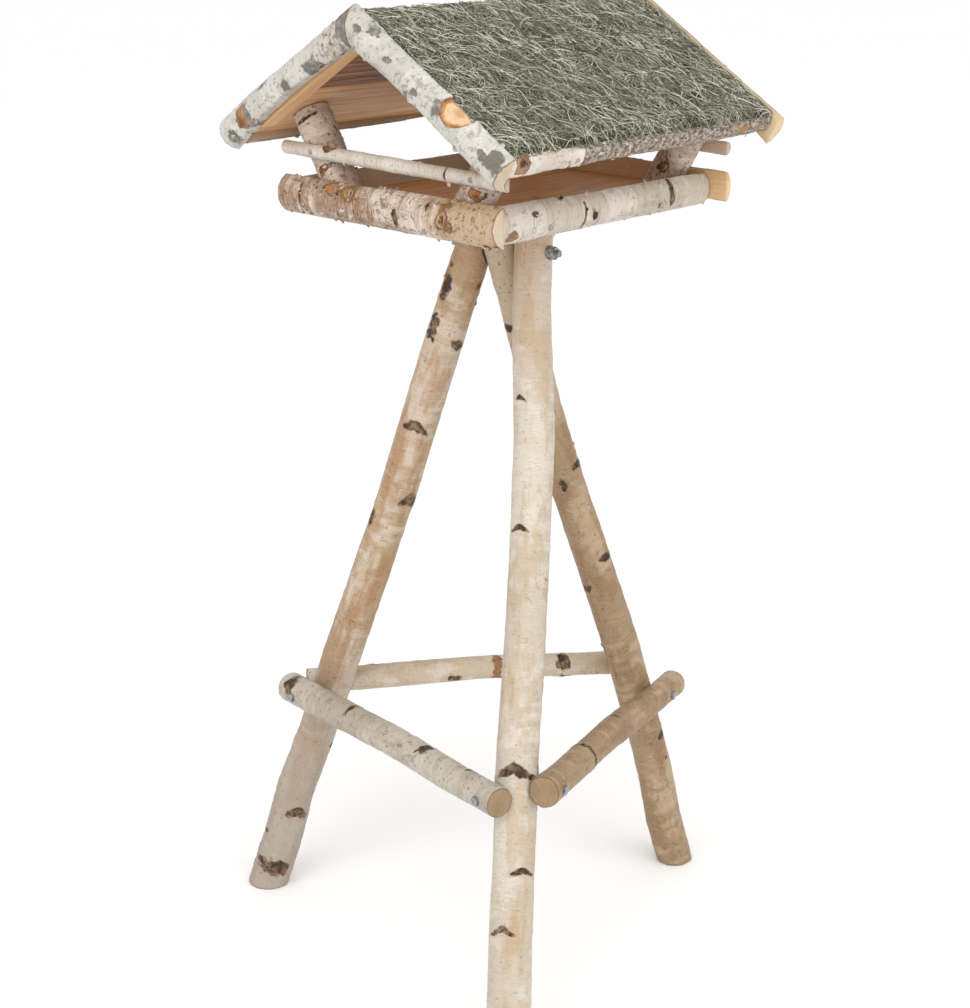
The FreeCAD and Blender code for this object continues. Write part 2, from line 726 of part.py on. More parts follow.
def main():
    parts = {}
    fastenings = Fastenings()
    poles = make_legs(parts)
    make_bolt(poles, parts)
    make_cross_rails(poles, parts, fastenings)
    make_tray(parts, fastenings)
    make_roof(parts, fastenings)
    make_posts(parts, fastenings)
    add_house_screws(poles, fastenings)
    fastenings.finish(parts)
    box = Part.makeCompound(list(parts.values())).optimalBoundingBox(False, False)
    shift = V(-(box.XMin + box.XMax) / 2, -(box.YMin + box.YMax) / 2, -box.ZMin)
    os.makedirs("parts", exist_ok=True)
    for name, shape in sorted(parts.items()):
        shape.translate(shift)
        shape.exportStep("parts/%s.step" % name)
        state = "valid" if shape.isValid() else "broken"
        print("%-24s %s  solids %d  volume %.0f" % (name, state, len(shape.Solids), shape.Volume))
    for name, pole in poles.items():
        foot = pole.centre(0) + shift
        print("%s stands at %.2f %.2f" % (name, foot.x, foot.y))
    print("tray centre at %.2f %.2f" % (shift.x, shift.y))
    print("overall %.1f x %.1f x %.1f" % (box.XLength, box.YLength, box.ZLength))


main()
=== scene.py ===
"""Looks of the birch bird table: barked timber with knots, pine boards, a hay roof and steel fixings."""
import itertools
import json
import math

import bmesh
import bpy
import numpy as np
from mathutils import Matrix, Vector
from mathutils.bvhtree import BVHTree


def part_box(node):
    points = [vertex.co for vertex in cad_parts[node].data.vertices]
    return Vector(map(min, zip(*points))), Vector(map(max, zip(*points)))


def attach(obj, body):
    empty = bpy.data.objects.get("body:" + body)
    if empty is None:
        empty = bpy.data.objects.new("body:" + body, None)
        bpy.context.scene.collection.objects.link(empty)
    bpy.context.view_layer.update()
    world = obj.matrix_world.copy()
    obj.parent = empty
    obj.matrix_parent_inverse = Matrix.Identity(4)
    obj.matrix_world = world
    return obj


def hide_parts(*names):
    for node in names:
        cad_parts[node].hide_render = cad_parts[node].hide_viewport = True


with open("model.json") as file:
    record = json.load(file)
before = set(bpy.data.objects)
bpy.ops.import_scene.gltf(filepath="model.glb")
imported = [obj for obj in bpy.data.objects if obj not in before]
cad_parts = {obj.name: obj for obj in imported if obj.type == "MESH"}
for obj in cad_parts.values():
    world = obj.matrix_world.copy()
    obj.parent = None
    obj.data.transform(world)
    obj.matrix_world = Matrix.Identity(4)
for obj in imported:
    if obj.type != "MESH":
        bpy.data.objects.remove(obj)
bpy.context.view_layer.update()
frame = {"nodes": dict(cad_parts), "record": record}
nodes = frame["nodes"]
scene = bpy.context.scene

# Lengths are in metres where nothing else is said
MM = 0.001

# The camera, from the middle of the tray; yaw and pitch in degrees, sensor in mm
TRAY_LEVEL = 0.962
CAMERA_OFFSET = (1.4868, -1.5857, 0.3515)
CAMERA_YAW = 43.8
CAMERA_PITCH = 18.6
FOCAL_PIXELS = 1900.0
PHOTO_WIDTH = 970.0
SENSOR_WIDTH = 36.0
FAR_CLIP = 200.0

# The stage: a white floor, surroundings that dim with height, lamps (place, watts, width) and a soft sun
FLOOR_REACH = 60.0
FLOOR_PAINT = (0.99, 0.99, 0.99, 1)
FLOOR_ROUGHNESS = 0.9
SKY_STRENGTH = {"From Min": 0.2, "From Max": 0.55, "To Min": 1.0, "To Max": 0.69}
LAMPS = {"key": ((0.5, -2.3, 2.6), 24.0, 1.8), "side": ((2.6, 0.2, 1.9), 7.0, 1.6)}
SUN_TOWARDS = (0.9, -0.5, 0.95)
SUN_STRENGTH = 1.3
SUN_SPREAD = 70.0

# Share of a screen colour that goes into the paint; the lamps bring the rest
PAINT_SHARE = 0.86

# Large odd numbers that scatter whole-number places for the noise
SCATTER = (374761393, 668265263, 2246822519)
SCATTER_SEED = 7919
SCATTER_MIX = 1274126177

# The roof's slope
ROOF_PITCH = math.radians(31.6)

# Which way each sawn slab turns its bark; round timbers have bark all round
DOWN_RIGHT = (math.cos(ROOF_PITCH), 0, -math.sin(ROOF_PITCH))
DOWN_LEFT = (-math.cos(ROOF_PITCH), 0, -math.sin(ROOF_PITCH))
FRONT, REAR, LEFT, RIGHT = (0, -1, 0), (0, 1, 0), (-1, 0, 0), (1, 0, 0)
SLABS = {
    "tray_rail_front": FRONT, "tray_rail_rear": REAR, "tray_rail_left": LEFT, "tray_rail_right": RIGHT,
    "rake_front_left": FRONT, "rake_front_right": FRONT, "rake_rear_left": REAR, "rake_rear_right": REAR,
    "eave_slab_left": DOWN_LEFT, "eave_slab_right": DOWN_RIGHT, "perch_front": FRONT, "perch_rear": REAR,
}
POLES = ("leg_front", "leg_left", "leg_right", "cross_rail_left", "cross_rail_rear", "cross_rail_right")
POSTS = ("post_front_left", "post_front_right", "post_rear_left", "post_rear_right")

# Side of a round timber that its grain is measured from
ROUND_REFERENCE = (0.3, 0.9, 0.2)

# How squarely a face looks along the timber, or away from the bark, to count as sawn, and its blurred edge
END_FACING = 0.5
FLAT_FACING = -0.8
CUT_ROUNDS = 4

# Kinds of timber: net spacing, height of lumps, marks on hidden sides, curls of bark, first seed
POLE = {"net": 0.0022, "lumps": 0.7 * MM, "scars": 7, "flakes": 3, "slot": "birch_pole", "seed": 11}
POST = {"net": 0.0016, "lumps": 0.9 * MM, "scars": 2, "flakes": 16, "slot": "birch_slab", "seed": 31}
SLAB = {"net": 0.0016, "lumps": 0.8 * MM, "scars": 3, "flakes": 8, "slot": "birch_slab", "seed": 51}
PERCH = {**SLAB, "scars": 0}

# Timbers with more curls of bark than their kind
FLAKES = {"tray_rail_front": 90, "tray_rail_right": 50, "tray_rail_left": 60, "eave_slab_right": 16}

# Weathered from one place to another along an axis, up to a strength, and bleached likewise
AGED = {"eave_slab_right": (1, -0.132, -0.128, 1.0), "eave_slab_left": (1, -0.06, -0.056, 1.0),
        "rake_front_left": (0, -0.045, 0.02, 0.5)}
FADES = {"leg_right": (2, 0.62, 0.86), "leg_left": (2, 0.46, 0.16), "tray_rail_front": (0, 0.10, 0.16)}

# Relief of timber, changes a metre across, outward and along the grain, and its heights
LUMP_SCALE = (26, 26, 13)
WAVE_SCALE = (11, 11, 85)
PORE_SCALE = (210, 210, 300)
PORE_HEIGHT = 0.14 * MM
SAW_SCALE = (260, 260, 60)
SAW_HEIGHT = 0.07 * MM

# Plates of paler bark in the same way: streaks on poles, bands on slabs, broken and frayed at their edges
PLATES = {"birch_pole": (22, 22, 9), "birch_slab": (7, 7, 40)}
PLATE_BREAKS = (45, 45, 130)
PLATE_FRAY = (130, 130, 280)

# How far the grain moves from one timber or board to the next, so that no two look alike, and the numbers
# of the roof's boards
TIMBER_STEP = 0.37
BOARD_STEP = 0.61
UPPER_PLANKS = 3
LOWER_PLANKS = 6
RAFTERS = 9

# Curls of peeling bark: how likely away from torn places, stations along one, ranges of width, reach and
# rise in mm, spread of the slant, thickness and depth of the root
FLAKE_CHANCE = 0.12
FLAKE_STATIONS = 4
FLAKE_WIDTH = (2.5, 10.0)
FLAKE_REACH = (2.0, 6.0)
FLAKE_RISE = (0.5, 2.0)
FLAKE_SLANT = 0.25
FLAKE_THICKNESS = 0.28 * MM
FLAKE_ROOT = 0.3 * MM

# Sawn boards: welding distance, angle that counts as flat, least length and angle of a softened edge
WELD = 0.000002
FLAT_ANGLE = 0.01
EDGE_LENGTH = 0.012
EDGE_ANGLE = 0.5
EDGE_SOFTENING = 0.0007

# Hay mat: net spacing, then height in mm and changes a metre of its coarse and fine unevenness
MAT_NET = 0.004
MAT_RELIEF = ((1.2, 70), (0.7, 190))
MAT_TONE_SCALE = 160
MAT_SEED = 81

# Loose strands: how many, rings along one and its thickness there, range of radius, spread of tone
STRANDS_PER_SLOPE = 8000
STRAND_RINGS = 5
STRAND_TAPER = (0.6, 1.0, 1.0, 0.9, 0.45)
STRAND_RADIUS = (0.00025, 0.0005)
STRAND_TONE = (0.75, 1.0)
STRAND_SEED = 91

# How they lie: some combed about one heading, the rest any way, bent by a turn, lifted and arched
COMBED_SHARE = 0.4
COMBED_HEADING = (0.5, 0.7)
STRAND_TURN = 0.55
STRAND_SHORTEST = 0.016
STRAND_LONGER = 0.06
STRAND_LENGTHS = (1.3, 2.2)
STRAND_LIFT = (-0.0005, 0.003)
STRAND_ARCH = (0.0, 0.0036)

# How far they stay inside the roof's edges, hang over the eave and droop there, and where rays start above
STRAND_INSET = 0.001
EAVE_OVERHANG = 0.004
EAVE_DROOP = 1.2
RAY_START = 0.02

# Strands across the ridge: how many, then their spread, lengths, shift across it and height over the mats
RIDGE_STRANDS = 1300
RIDGE_SEED = 95
RIDGE_INSET = 0.004
RIDGE_HEADING = 0.6
RIDGE_LENGTH = (0.022, 0.065)
RIDGE_OFFSET = (-0.25, 0.25)
RIDGE_LIFT = (0.0, 0.0025)
RIDGE_CLEARANCE = 0.0006

# Relief of marks: height, sharpness and place of the rim, depth and sharpness of the pit, heights in mm;
# a pit without sharpness is as broad as the mark
SCAR_RELIEF = (0.9, 4.0, 1.1, 0.8, 3.0)
MARK_RELIEF = {
    "scar": SCAR_RELIEF, "brow": SCAR_RELIEF, "torn": (0.5, 5.0, 1.2, 1.0, None),
    "bare": (0.0, 1.0, 1.0, 0.5, None), "ring": (1.6, 1.0, 0.9, 0.9, None),
    "knot": (2.4, 6.0, 0.75, 1.0, 16.0),
}

# Shares stored on the mesh for the material, and the one that each mark adds to
FIELDS = ("scar", "torn", "bare", "stub", "knot", "aged", "fade")
MARK_FIELD = {"scar": "scar", "brow": "scar", "ring": "scar", "torn": "torn", "bare": "bare", "knot": "knot"}

# Size from which marks have full relief, a brow's slope and spread, height of swells, a stub's collar
FULL_RELIEF_SIZE = 10 * MM
BROW_SLOPE = 0.55
BROW_WEAR = 0.5
SWELL = 4 * MM
STUB_SINK = 0.12
STUB_COLLAR = 1.2 * MM

# Marks on hidden sides: how far these turn from the camera, ranges of width and length in mm, kinds
HIDDEN_FACING = -0.15
HIDDEN_WIDTH = (10, 26)
HIDDEN_LENGTH = (5, 12)
HIDDEN_KINDS = ["scar", "brow", "scar", "torn"]

# Marks in the bark of each timber: place from the middle of the tray, width around and length along,
# in mm, and kind
MARKS = {
    "leg_front": (
        (88, -70, -215, 16, 5, "brow"), (120, -104, -353, 24, 7, "brow"), (147, -94, -413, 7, 6, "scar"),
        (176, -171, -610, 46, 14, "brow"), (204, -189, -720, 26, 8, "brow"), (205, -220, -783, 28, 8, "brow"),
    ),
    "leg_left": (
        (-46, -51, -109, 17, 40, "scar"), (-61, -58, -160, 14, 30, "scar"), (-42, -39, -182, 14, 14, "scar"),
        (-19, -26, -110, 9, 13, "scar"), (-83, -68, -283, 29, 14, "brow"), (-102, -63, -382, 27, 17, "brow"),
        (-144, -86, -408, 10, 27, "scar"), (-253, -131, -836, 32, 17, "brow"),
        (-285, -148, -925, 46, 24, "scar"), (-276, -156, -941, 14, 10, "bare"),
        (-295, -148, -873, 7, 9, "scar"), (-219, -99, -739, 7, 13, "scar"),
    ),
    "leg_right": (
        (11, -6, -159, 15, 11, "scar"), (41, 80, -340, 17, 11, "scar"), (51, 129, -468, 18, 10, "scar"),
        (29, 121, -515, 15, 14, "scar"), (66, 232, -745, 11, 11, "scar"), (67, 243, -781, 8, 8, "scar"),
        (33, 68, -364, 8, 18, "scar"),
    ),
    "cross_rail_rear": (
        (-32, 148, -643, 24, 17, "scar"), (-29, 152, -643, 12, 8, "bare"), (-125, 42, -661, 10, 16, "scar"),
        (-89, 81, -647, 60, 12, "bare"),
    ),
    "cross_rail_left": (
        (-108, -159, -632, 22, 7, "scar"), (46, -184, -629, 19, 14, "scar"), (123, -185, -629, 18, 6, "scar"),
        (-235, -147, -642, 26, 15, "scar"),
    ),
    "cross_rail_right": (
        (144, 57, -641, 60, 8, "ring"), (124, 116, -649, 60, 8, "ring"), (182, -48, -642, 60, 8, "ring"),
    ),
    "tray_rail_front": (
        (-47, -198, 13, 19, 19, "knot"), (-79, -195, 16, 13, 29, "torn"), (99, -203, 2, 27, 21, "knot"),
        (28, -202, -5, 23, 7, "scar"), (74, -199, 14, 10, 5, "scar"), (-128, -200, 8, 33, 4, "scar"),
    ),
    "tray_rail_right": (
        (152, -21, -10, 14, 10, "scar"), (153, -36, -6, 39, 3, "scar"), (150, 114, 0, 34, 8, "scar"),
        (151, -152, -16, 16, 20, "bare"), (152, -119, 4, 6, 10, "torn"),
    ),
    "rake_front_right": (
        (153, -231, 121, 36, 39, "stub"), (102, -243, 135, 6, 10, "scar"), (132, -241, 123, 14, 16, "scar"),
        (207, -242, 75, 14, 26, "scar"), (194, -242, 83, 10, 20, "scar"), (212, -236, 81, 10, 20, "scar"),
        (60, -242, 165, 8, 14, "scar"), (34, -234, 192, 12, 16, "scar"), (16, -241, 194, 8, 14, "scar"),
        (120, -238, 152, 8, 22, "scar"),
    ),
    "rake_front_left": (
        (-171, -243, 88, 24, 22, "torn"), (-56, -241, 150, 17, 21, "scar"), (-47, -239, 151, 9, 15, "torn"),
        (-140, -239, 122, 6, 18, "scar"), (-190, -240, 64, 22, 18, "scar"), (-3, -238, 185, 34, 14, "scar"),
        (-97, -242, 128, 9, 11, "scar"), (-1, -241, 203, 27, 22, "scar"), (-172, -232, 130, 34, 90, "swell"),
        (-158, -240, 84, 30, 9, "scar"),
    ),
    "eave_slab_right": (
        (206, -196, 71, 29, 20, "bare"), (206, -196, 71, 9, 8, "scar"), (204, 174, 71, 14, 18, "bare"),
    ),
    "perch_front": (
        (-96, -183, 55, 10, 20, "torn"), (87, -186, 47, 15, 3, "scar"),
    ),
    "post_front_left": (
        (-139, -179, 84, 30, 4, "scar"), (-108, -180, 32, 16, 9, "torn"),
    ),
    "post_front_right": (
        (124, -178, 27, 17, 14, "torn"),
    ),
    "post_rear_right": (
        (111, 144, 20, 12, 16, "torn"),
    ),
}


def tray_middle():
    """Middle of the tray in the part's frame."""
    low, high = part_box("floor_plank_left")[0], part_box("floor_plank_right")[1]
    return np.array([(low[0] + high[0]) / 2, (low[1] + high[1]) / 2, TRAY_LEVEL])


TRAY = tray_middle()


# Noise and blending on arrays of points

def ease(value, low, high):
    """0 below low, 1 above high and smooth between."""
    share = np.clip((value - low) / (high - low), 0, 1)
    return share * share * (3 - 2 * share)


def lattice(cells, seed):
    """Repeatable values from 0 to 1 at whole-number places."""
    cells = cells.astype(np.int64).astype(np.uint32)
    mixed = np.full(len(cells), seed * SCATTER_SEED, np.uint32)
    for axis, step in enumerate(SCATTER):
        mixed = mixed + cells[:, axis] * np.uint32(step)
    mixed = (mixed ^ (mixed >> np.uint32(13))) * np.uint32(SCATTER_MIX)
    return ((mixed ^ (mixed >> np.uint32(16))) & np.uint32(0xFFFF)) / 65535.0


def smooth_noise(points, seed):
    """Noise from -1 to 1 that changes over about one unit."""
    base = np.floor(points)
    part = points - base
    part = part * part * (3 - 2 * part)
    total = np.zeros(len(points))
    for corner in itertools.product((0, 1), repeat=3):
        weight = np.prod(np.where(corner, part, 1 - part), axis=1)
        total += weight * lattice(base + corner, seed)
    return 2 * total - 1


# Materials

# Patches cut out of a noise: level where they start, how it falls with their share, widths of their edges
COVER_START = 0.70
COVER_FALL = 0.40
NARROW_EDGE = 0.07
BROAD_EDGE = 0.16

# Noises of bark: changes a metre across, outward and along the grain, detail, roughness
BARK_NOISE = {
    "bands": ((10, 10, 60), 5.0, 0.6), "ridges": ((24, 24, 340), 4.0, 0.65),
    "streaks": ((34, 34, 7), 5.0, 0.6), "patches": ((30, 30, 13), 6.0, 0.6),
    "blotches": ((75, 75, 50), 7.0, 0.68),
    "specks": ((190, 190, 230), 4.0, 0.6), "dashes": ((95, 95, 900), 3.0, 0.5),
    "fine": ((500, 500, 1100), 3.0, 0.5), "weather": ((280, 280, 190), 6.0, 0.75),
    "lines": ((260, 260, 9), 3.0, 0.5),
}

# How much specks break the borders of marks, and the depth of fine relief on each surface
BORDER_WEAR = 2.2
BARK_BUMP = 0.0015
PINE_BUMP = 0.0005
HAY_BUMP = 0.0004
ZINC_BUMP = 0.0001

# Noises of the other surfaces, in the same way
PINE_LINES = (330, 330, 7)
PINE_SHADE = (14, 14, 3)
HAY_FLECKS = (300, 300, 300)
ZINC_CLOUDS = (260, 260, 260)
ZINC_GRAIN = (1500, 1500, 1500)

# Growth rings: where their middle lies in the grain, their spacing and how far they wander
LOG_RINGS = ((0.002, 0.003, 0), 0.0036, 0.006)
BOARD_RINGS = ((0.01, -0.05, 0), 0.011, 0.03)
DARK_BOARD_RINGS = ((0.015, -0.06, 0), 0.011, 0.03)
RING_DRIFT_SCALE = (30, 30, 4)

# Colours that all barks share: weathered skin, bare and torn places, sawn stubs, knots with painted shade in
# their hollow middles, edge of a cut
MARK_PAINT = {
    "worn": (190, 176, 160), "worn_dark": (92, 79, 67), "bare": (172, 130, 88), "bare_dark": (128, 86, 56),
    "inner": (184, 128, 78), "inner_dark": (118, 78, 50), "inner_pale": (226, 190, 146),
    "stub_edge": (116, 90, 70), "stub_rim": (188, 126, 70), "stub_wood": (228, 198, 158),
    "stub_heart": (200, 148, 98), "stub_blotch": (206, 156, 104), "collar": (150, 112, 74),
    "collar_dark": (104, 76, 52), "eye": (164, 122, 80), "eye_pale": (206, 172, 132),
    "eye_hole_painted_shade": (84, 62, 46), "cut_edge": (124, 98, 76),
}

# Kinds of bark: colours of skin, stains, dashes, grime, bleached and sawn wood, marks, and their shares
STREAKED = {"patchy": 0.55, "banded": 0.55}
BANDED = {"patchy": 0.0, "banded": 0.55}
SLAB_WOOD = {"sawn": (215, 195, 172), "sawn_dark": (196, 167, 134)}
RED_WOOD = {"sawn": (238, 202, 156), "sawn_dark": (208, 160, 110)}
POLE_WOOD = {"sawn": (164, 139, 108), "sawn_dark": (126, 100, 72)}
GREY_MARKS = {"scar": (118, 112, 104), "halo": (168, 162, 153)}
BROWN_MARKS = {"scar": (58, 43, 34), "halo": (148, 120, 94)}
BARKS = {
    "cream": {"pale": (220, 211, 198), "tint": (206, 193, 176), "stain": (190, 164, 126), "stained": 0.45,
              "dash": (182, 166, 144), "dashed": 0.3, "grime": (162, 142, 118), "grimy": 0.26, "ridged": 0.2,
              **STREAKED, "faded": (206, 196, 182), **POLE_WOOD, **BROWN_MARKS},
    "tan": {"pale": (212, 196, 178), "tint": (186, 158, 125), "stain": (164, 122, 74), "stained": 0.6,
            "dash": (214, 198, 182), "dashed": 0.22, "grime": (128, 102, 78), "grimy": 0.26, "ridged": 0.3,
            **STREAKED, "faded": (172, 161, 148), **POLE_WOOD, **BROWN_MARKS},
    "brown": {"pale": (188, 165, 134), "tint": (162, 136, 104), "stain": (142, 104, 66), "stained": 0.5,
              "dash": (198, 180, 154), "dashed": 0.22, "grime": (108, 86, 66), "grimy": 0.28, "ridged": 0.3,
              **STREAKED, "faded": (204, 188, 166), **POLE_WOOD, **BROWN_MARKS},
    "white": {"pale": (221, 217, 208), "tint": (206, 200, 189), "stain": (196, 184, 168), "stained": 0.2,
              "dash": (160, 150, 138), "dashed": 0.2, "grime": (150, 145, 136), "grimy": 0.43, "ridged": 0.25,
              **BANDED, "faded": (200, 196, 188), **SLAB_WOOD, **GREY_MARKS},
    "paper": {"pale": (230, 222, 211), "tint": (210, 198, 182), "stain": (190, 172, 150), "stained": 0.3,
              "dash": (170, 158, 142), "dashed": 0.2, "grime": (150, 138, 124), "grimy": 0.26, "ridged": 0.55,
              **BANDED, "faded": (200, 190, 176), **SLAB_WOOD, **BROWN_MARKS},
    "pink": {"pale": (232, 215, 200), "tint": (158, 126, 98), "stain": (150, 112, 76), "stained": 0.45,
             "dash": (224, 208, 192), "dashed": 0.28, "grime": (100, 74, 54), "grimy": 0.42, "ridged": 0.8,
             "patchy": 0.0, "banded": 0.95, "faded": (196, 166, 128), **SLAB_WOOD, **BROWN_MARKS},
    "grey": {"pale": (222, 213, 200), "tint": (198, 187, 170), "stain": (176, 156, 132), "stained": 0.32,
             "dash": (156, 143, 127), "dashed": 0.22, "grime": (128, 115, 102), "grimy": 0.26, "ridged": 0.35,
             **BANDED, "faded": (190, 178, 162), **POLE_WOOD, **BROWN_MARKS},
}
BARKS["ruddy"] = {**BARKS["grey"], **RED_WOOD}
BARKS["ash"] = {**BARKS["grey"], "pale": (207, 199, 185), "tint": (184, 174, 157), "grimy": 0.36}
BARKS["gold"] = {**BARKS["white"], "sawn": (234, 210, 174), "sawn_dark": (212, 178, 132)}
BARKS["chalk"] = {**BARKS["grey"], **SLAB_WOOD, "pale": (236, 228, 217), "tint": (220, 210, 196)}
BARKS["rose"] = {**BARKS["pink"], "pale": (224, 206, 192), "tint": (198, 175, 154), "stain": (174, 144, 114),
                 "ridged": 0.4, "grimy": 0.41, "banded": 0.6}
BARK_OF = {
    "leg_front": "cream", "leg_left": "tan", "leg_right": "brown", "cross_rail_left": "ash",
    "cross_rail_rear": "cream", "cross_rail_right": "brown", "tray_rail_front": "pink",
    "tray_rail_left": "pink", "tray_rail_right": "paper", "tray_rail_rear": "ruddy",
    "rake_front_left": "white", "rake_front_right": "white", "rake_rear_left": "gold",
    "rake_rear_right": "gold", "eave_slab_left": "chalk", "eave_slab_right": "chalk",
    "perch_front": "chalk", "perch_rear": "chalk", "post_front_left": "rose", "post_front_right": "rose",
    "post_rear_left": "rose", "post_rear_right": "rose",
}


def screen(red, green, blue):
    """Paint that shows as screen values from 0 to 255 in the stage's light."""
    shares = [channel / 255 for channel in (red, green, blue)]
    linear = [s / 12.92 if s <= 0.04045 else ((s + 0.055) / 1.055) ** 2.4 for s in shares]
    return [PAINT_SHARE * channel for channel in linear] + [1.0]


class Looks:
    """A material whose nodes are added by short calls."""

    def __init__(self, name):
        self.material = bpy.data.materials.new(name)
        self.material.use_nodes = True
        self.nodes = self.material.node_tree.nodes
        self.links = self.material.node_tree.links
        self.shader = self.nodes["Principled BSDF"]

    def feed(self, socket, value):
        """Links an output to a socket, or sets a plain value on it."""
        if isinstance(value, bpy.types.NodeSocket):
            self.links.new(value, socket)
        else:
            socket.default_value = value

    def attribute(self, name, output="Fac"):
        """A value stored on the mesh."""
        node = self.nodes.new("ShaderNodeAttribute")
        node.attribute_name = name
        return node.outputs[output]

    def vector(self, operation, first, second=(0, 0, 0), output="Vector"):
        """Two vectors worked together."""
        node = self.nodes.new("ShaderNodeVectorMath")
        node.operation = operation
        self.feed(node.inputs[0], first)
        self.feed(node.inputs[1], second)
        return node.outputs[output]

    def noise(self, vector, scale, detail=3.0, roughness=0.5):
        """Noise with so many changes a metre along each direction of the grain."""
        node = self.nodes.new("ShaderNodeTexNoise")
        self.feed(node.inputs["Vector"], self.vector("MULTIPLY", vector, scale))
        node.inputs["Scale"].default_value = 1.0
        node.inputs["Detail"].default_value = detail
        node.inputs["Roughness"].default_value = roughness
        return node.outputs["Fac"]

    def ease(self, value, low, high, top=1.0):
        """0 below low, top above high and smooth between."""
        node = self.nodes.new("ShaderNodeMapRange")
        node.interpolation_type = "SMOOTHSTEP"
        self.feed(node.inputs["Value"], value)
        node.inputs["From Min"].default_value = low
        node.inputs["From Max"].default_value = high
        node.inputs["To Max"].default_value = top
        return node.outputs["Result"]

    def cover(self, noise, share, top, edge=NARROW_EDGE):
        """Patches of a noise that cover more of the surface the larger the share."""
        low = COVER_START - COVER_FALL * share
        return self.ease(noise, low, low + edge, top)

    def math(self, operation, first, second):
        """Two numbers worked together."""
        node = self.nodes.new("ShaderNodeMath")
        node.operation = operation
        self.feed(node.inputs[0], first)
        self.feed(node.inputs[1], second)
        return node.outputs[0]

    def mix(self, share, first, second):
        """Two colours blended by a share."""
        node = self.nodes.new("ShaderNodeMix")
        node.data_type = "RGBA"
        self.feed(node.inputs[0], share)
        self.feed(node.inputs[6], first)
        self.feed(node.inputs[7], second)
        return node.outputs[2]

    def rings(self, grain, centre, spacing, wander):
        """Growth rings about a line along the grain, from 0 to 1."""
        around = self.vector("MULTIPLY", self.vector("SUBTRACT", grain, centre), (1, 1, 0))
        drift = self.math("MULTIPLY", self.noise(grain, RING_DRIFT_SCALE, 2.0), wander)
        distance = self.math("ADD", self.vector("LENGTH", around, output="Value"), drift)
        turns = self.math("MULTIPLY", distance, 2 * math.pi / spacing)
        return self.ease(self.math("SINE", turns, 0.0), -0.7, 1.0)

    def surface(self, colour, roughness, height, distance, levels):
        """Colour, roughness and fine relief of the shader, and its levels that are the same all over."""
        self.links.new(colour, self.shader.inputs["Base Color"])
        self.links.new(roughness, self.shader.inputs["Roughness"])
        for socket, level in levels.items():
            self.shader.inputs[socket].default_value = level
        bump = self.nodes.new("ShaderNodeBump")
        bump.inputs["Distance"].default_value = distance
        self.feed(bump.inputs["Height"], height)
        self.links.new(bump.outputs["Normal"], self.shader.inputs["Normal"])
        return self.material


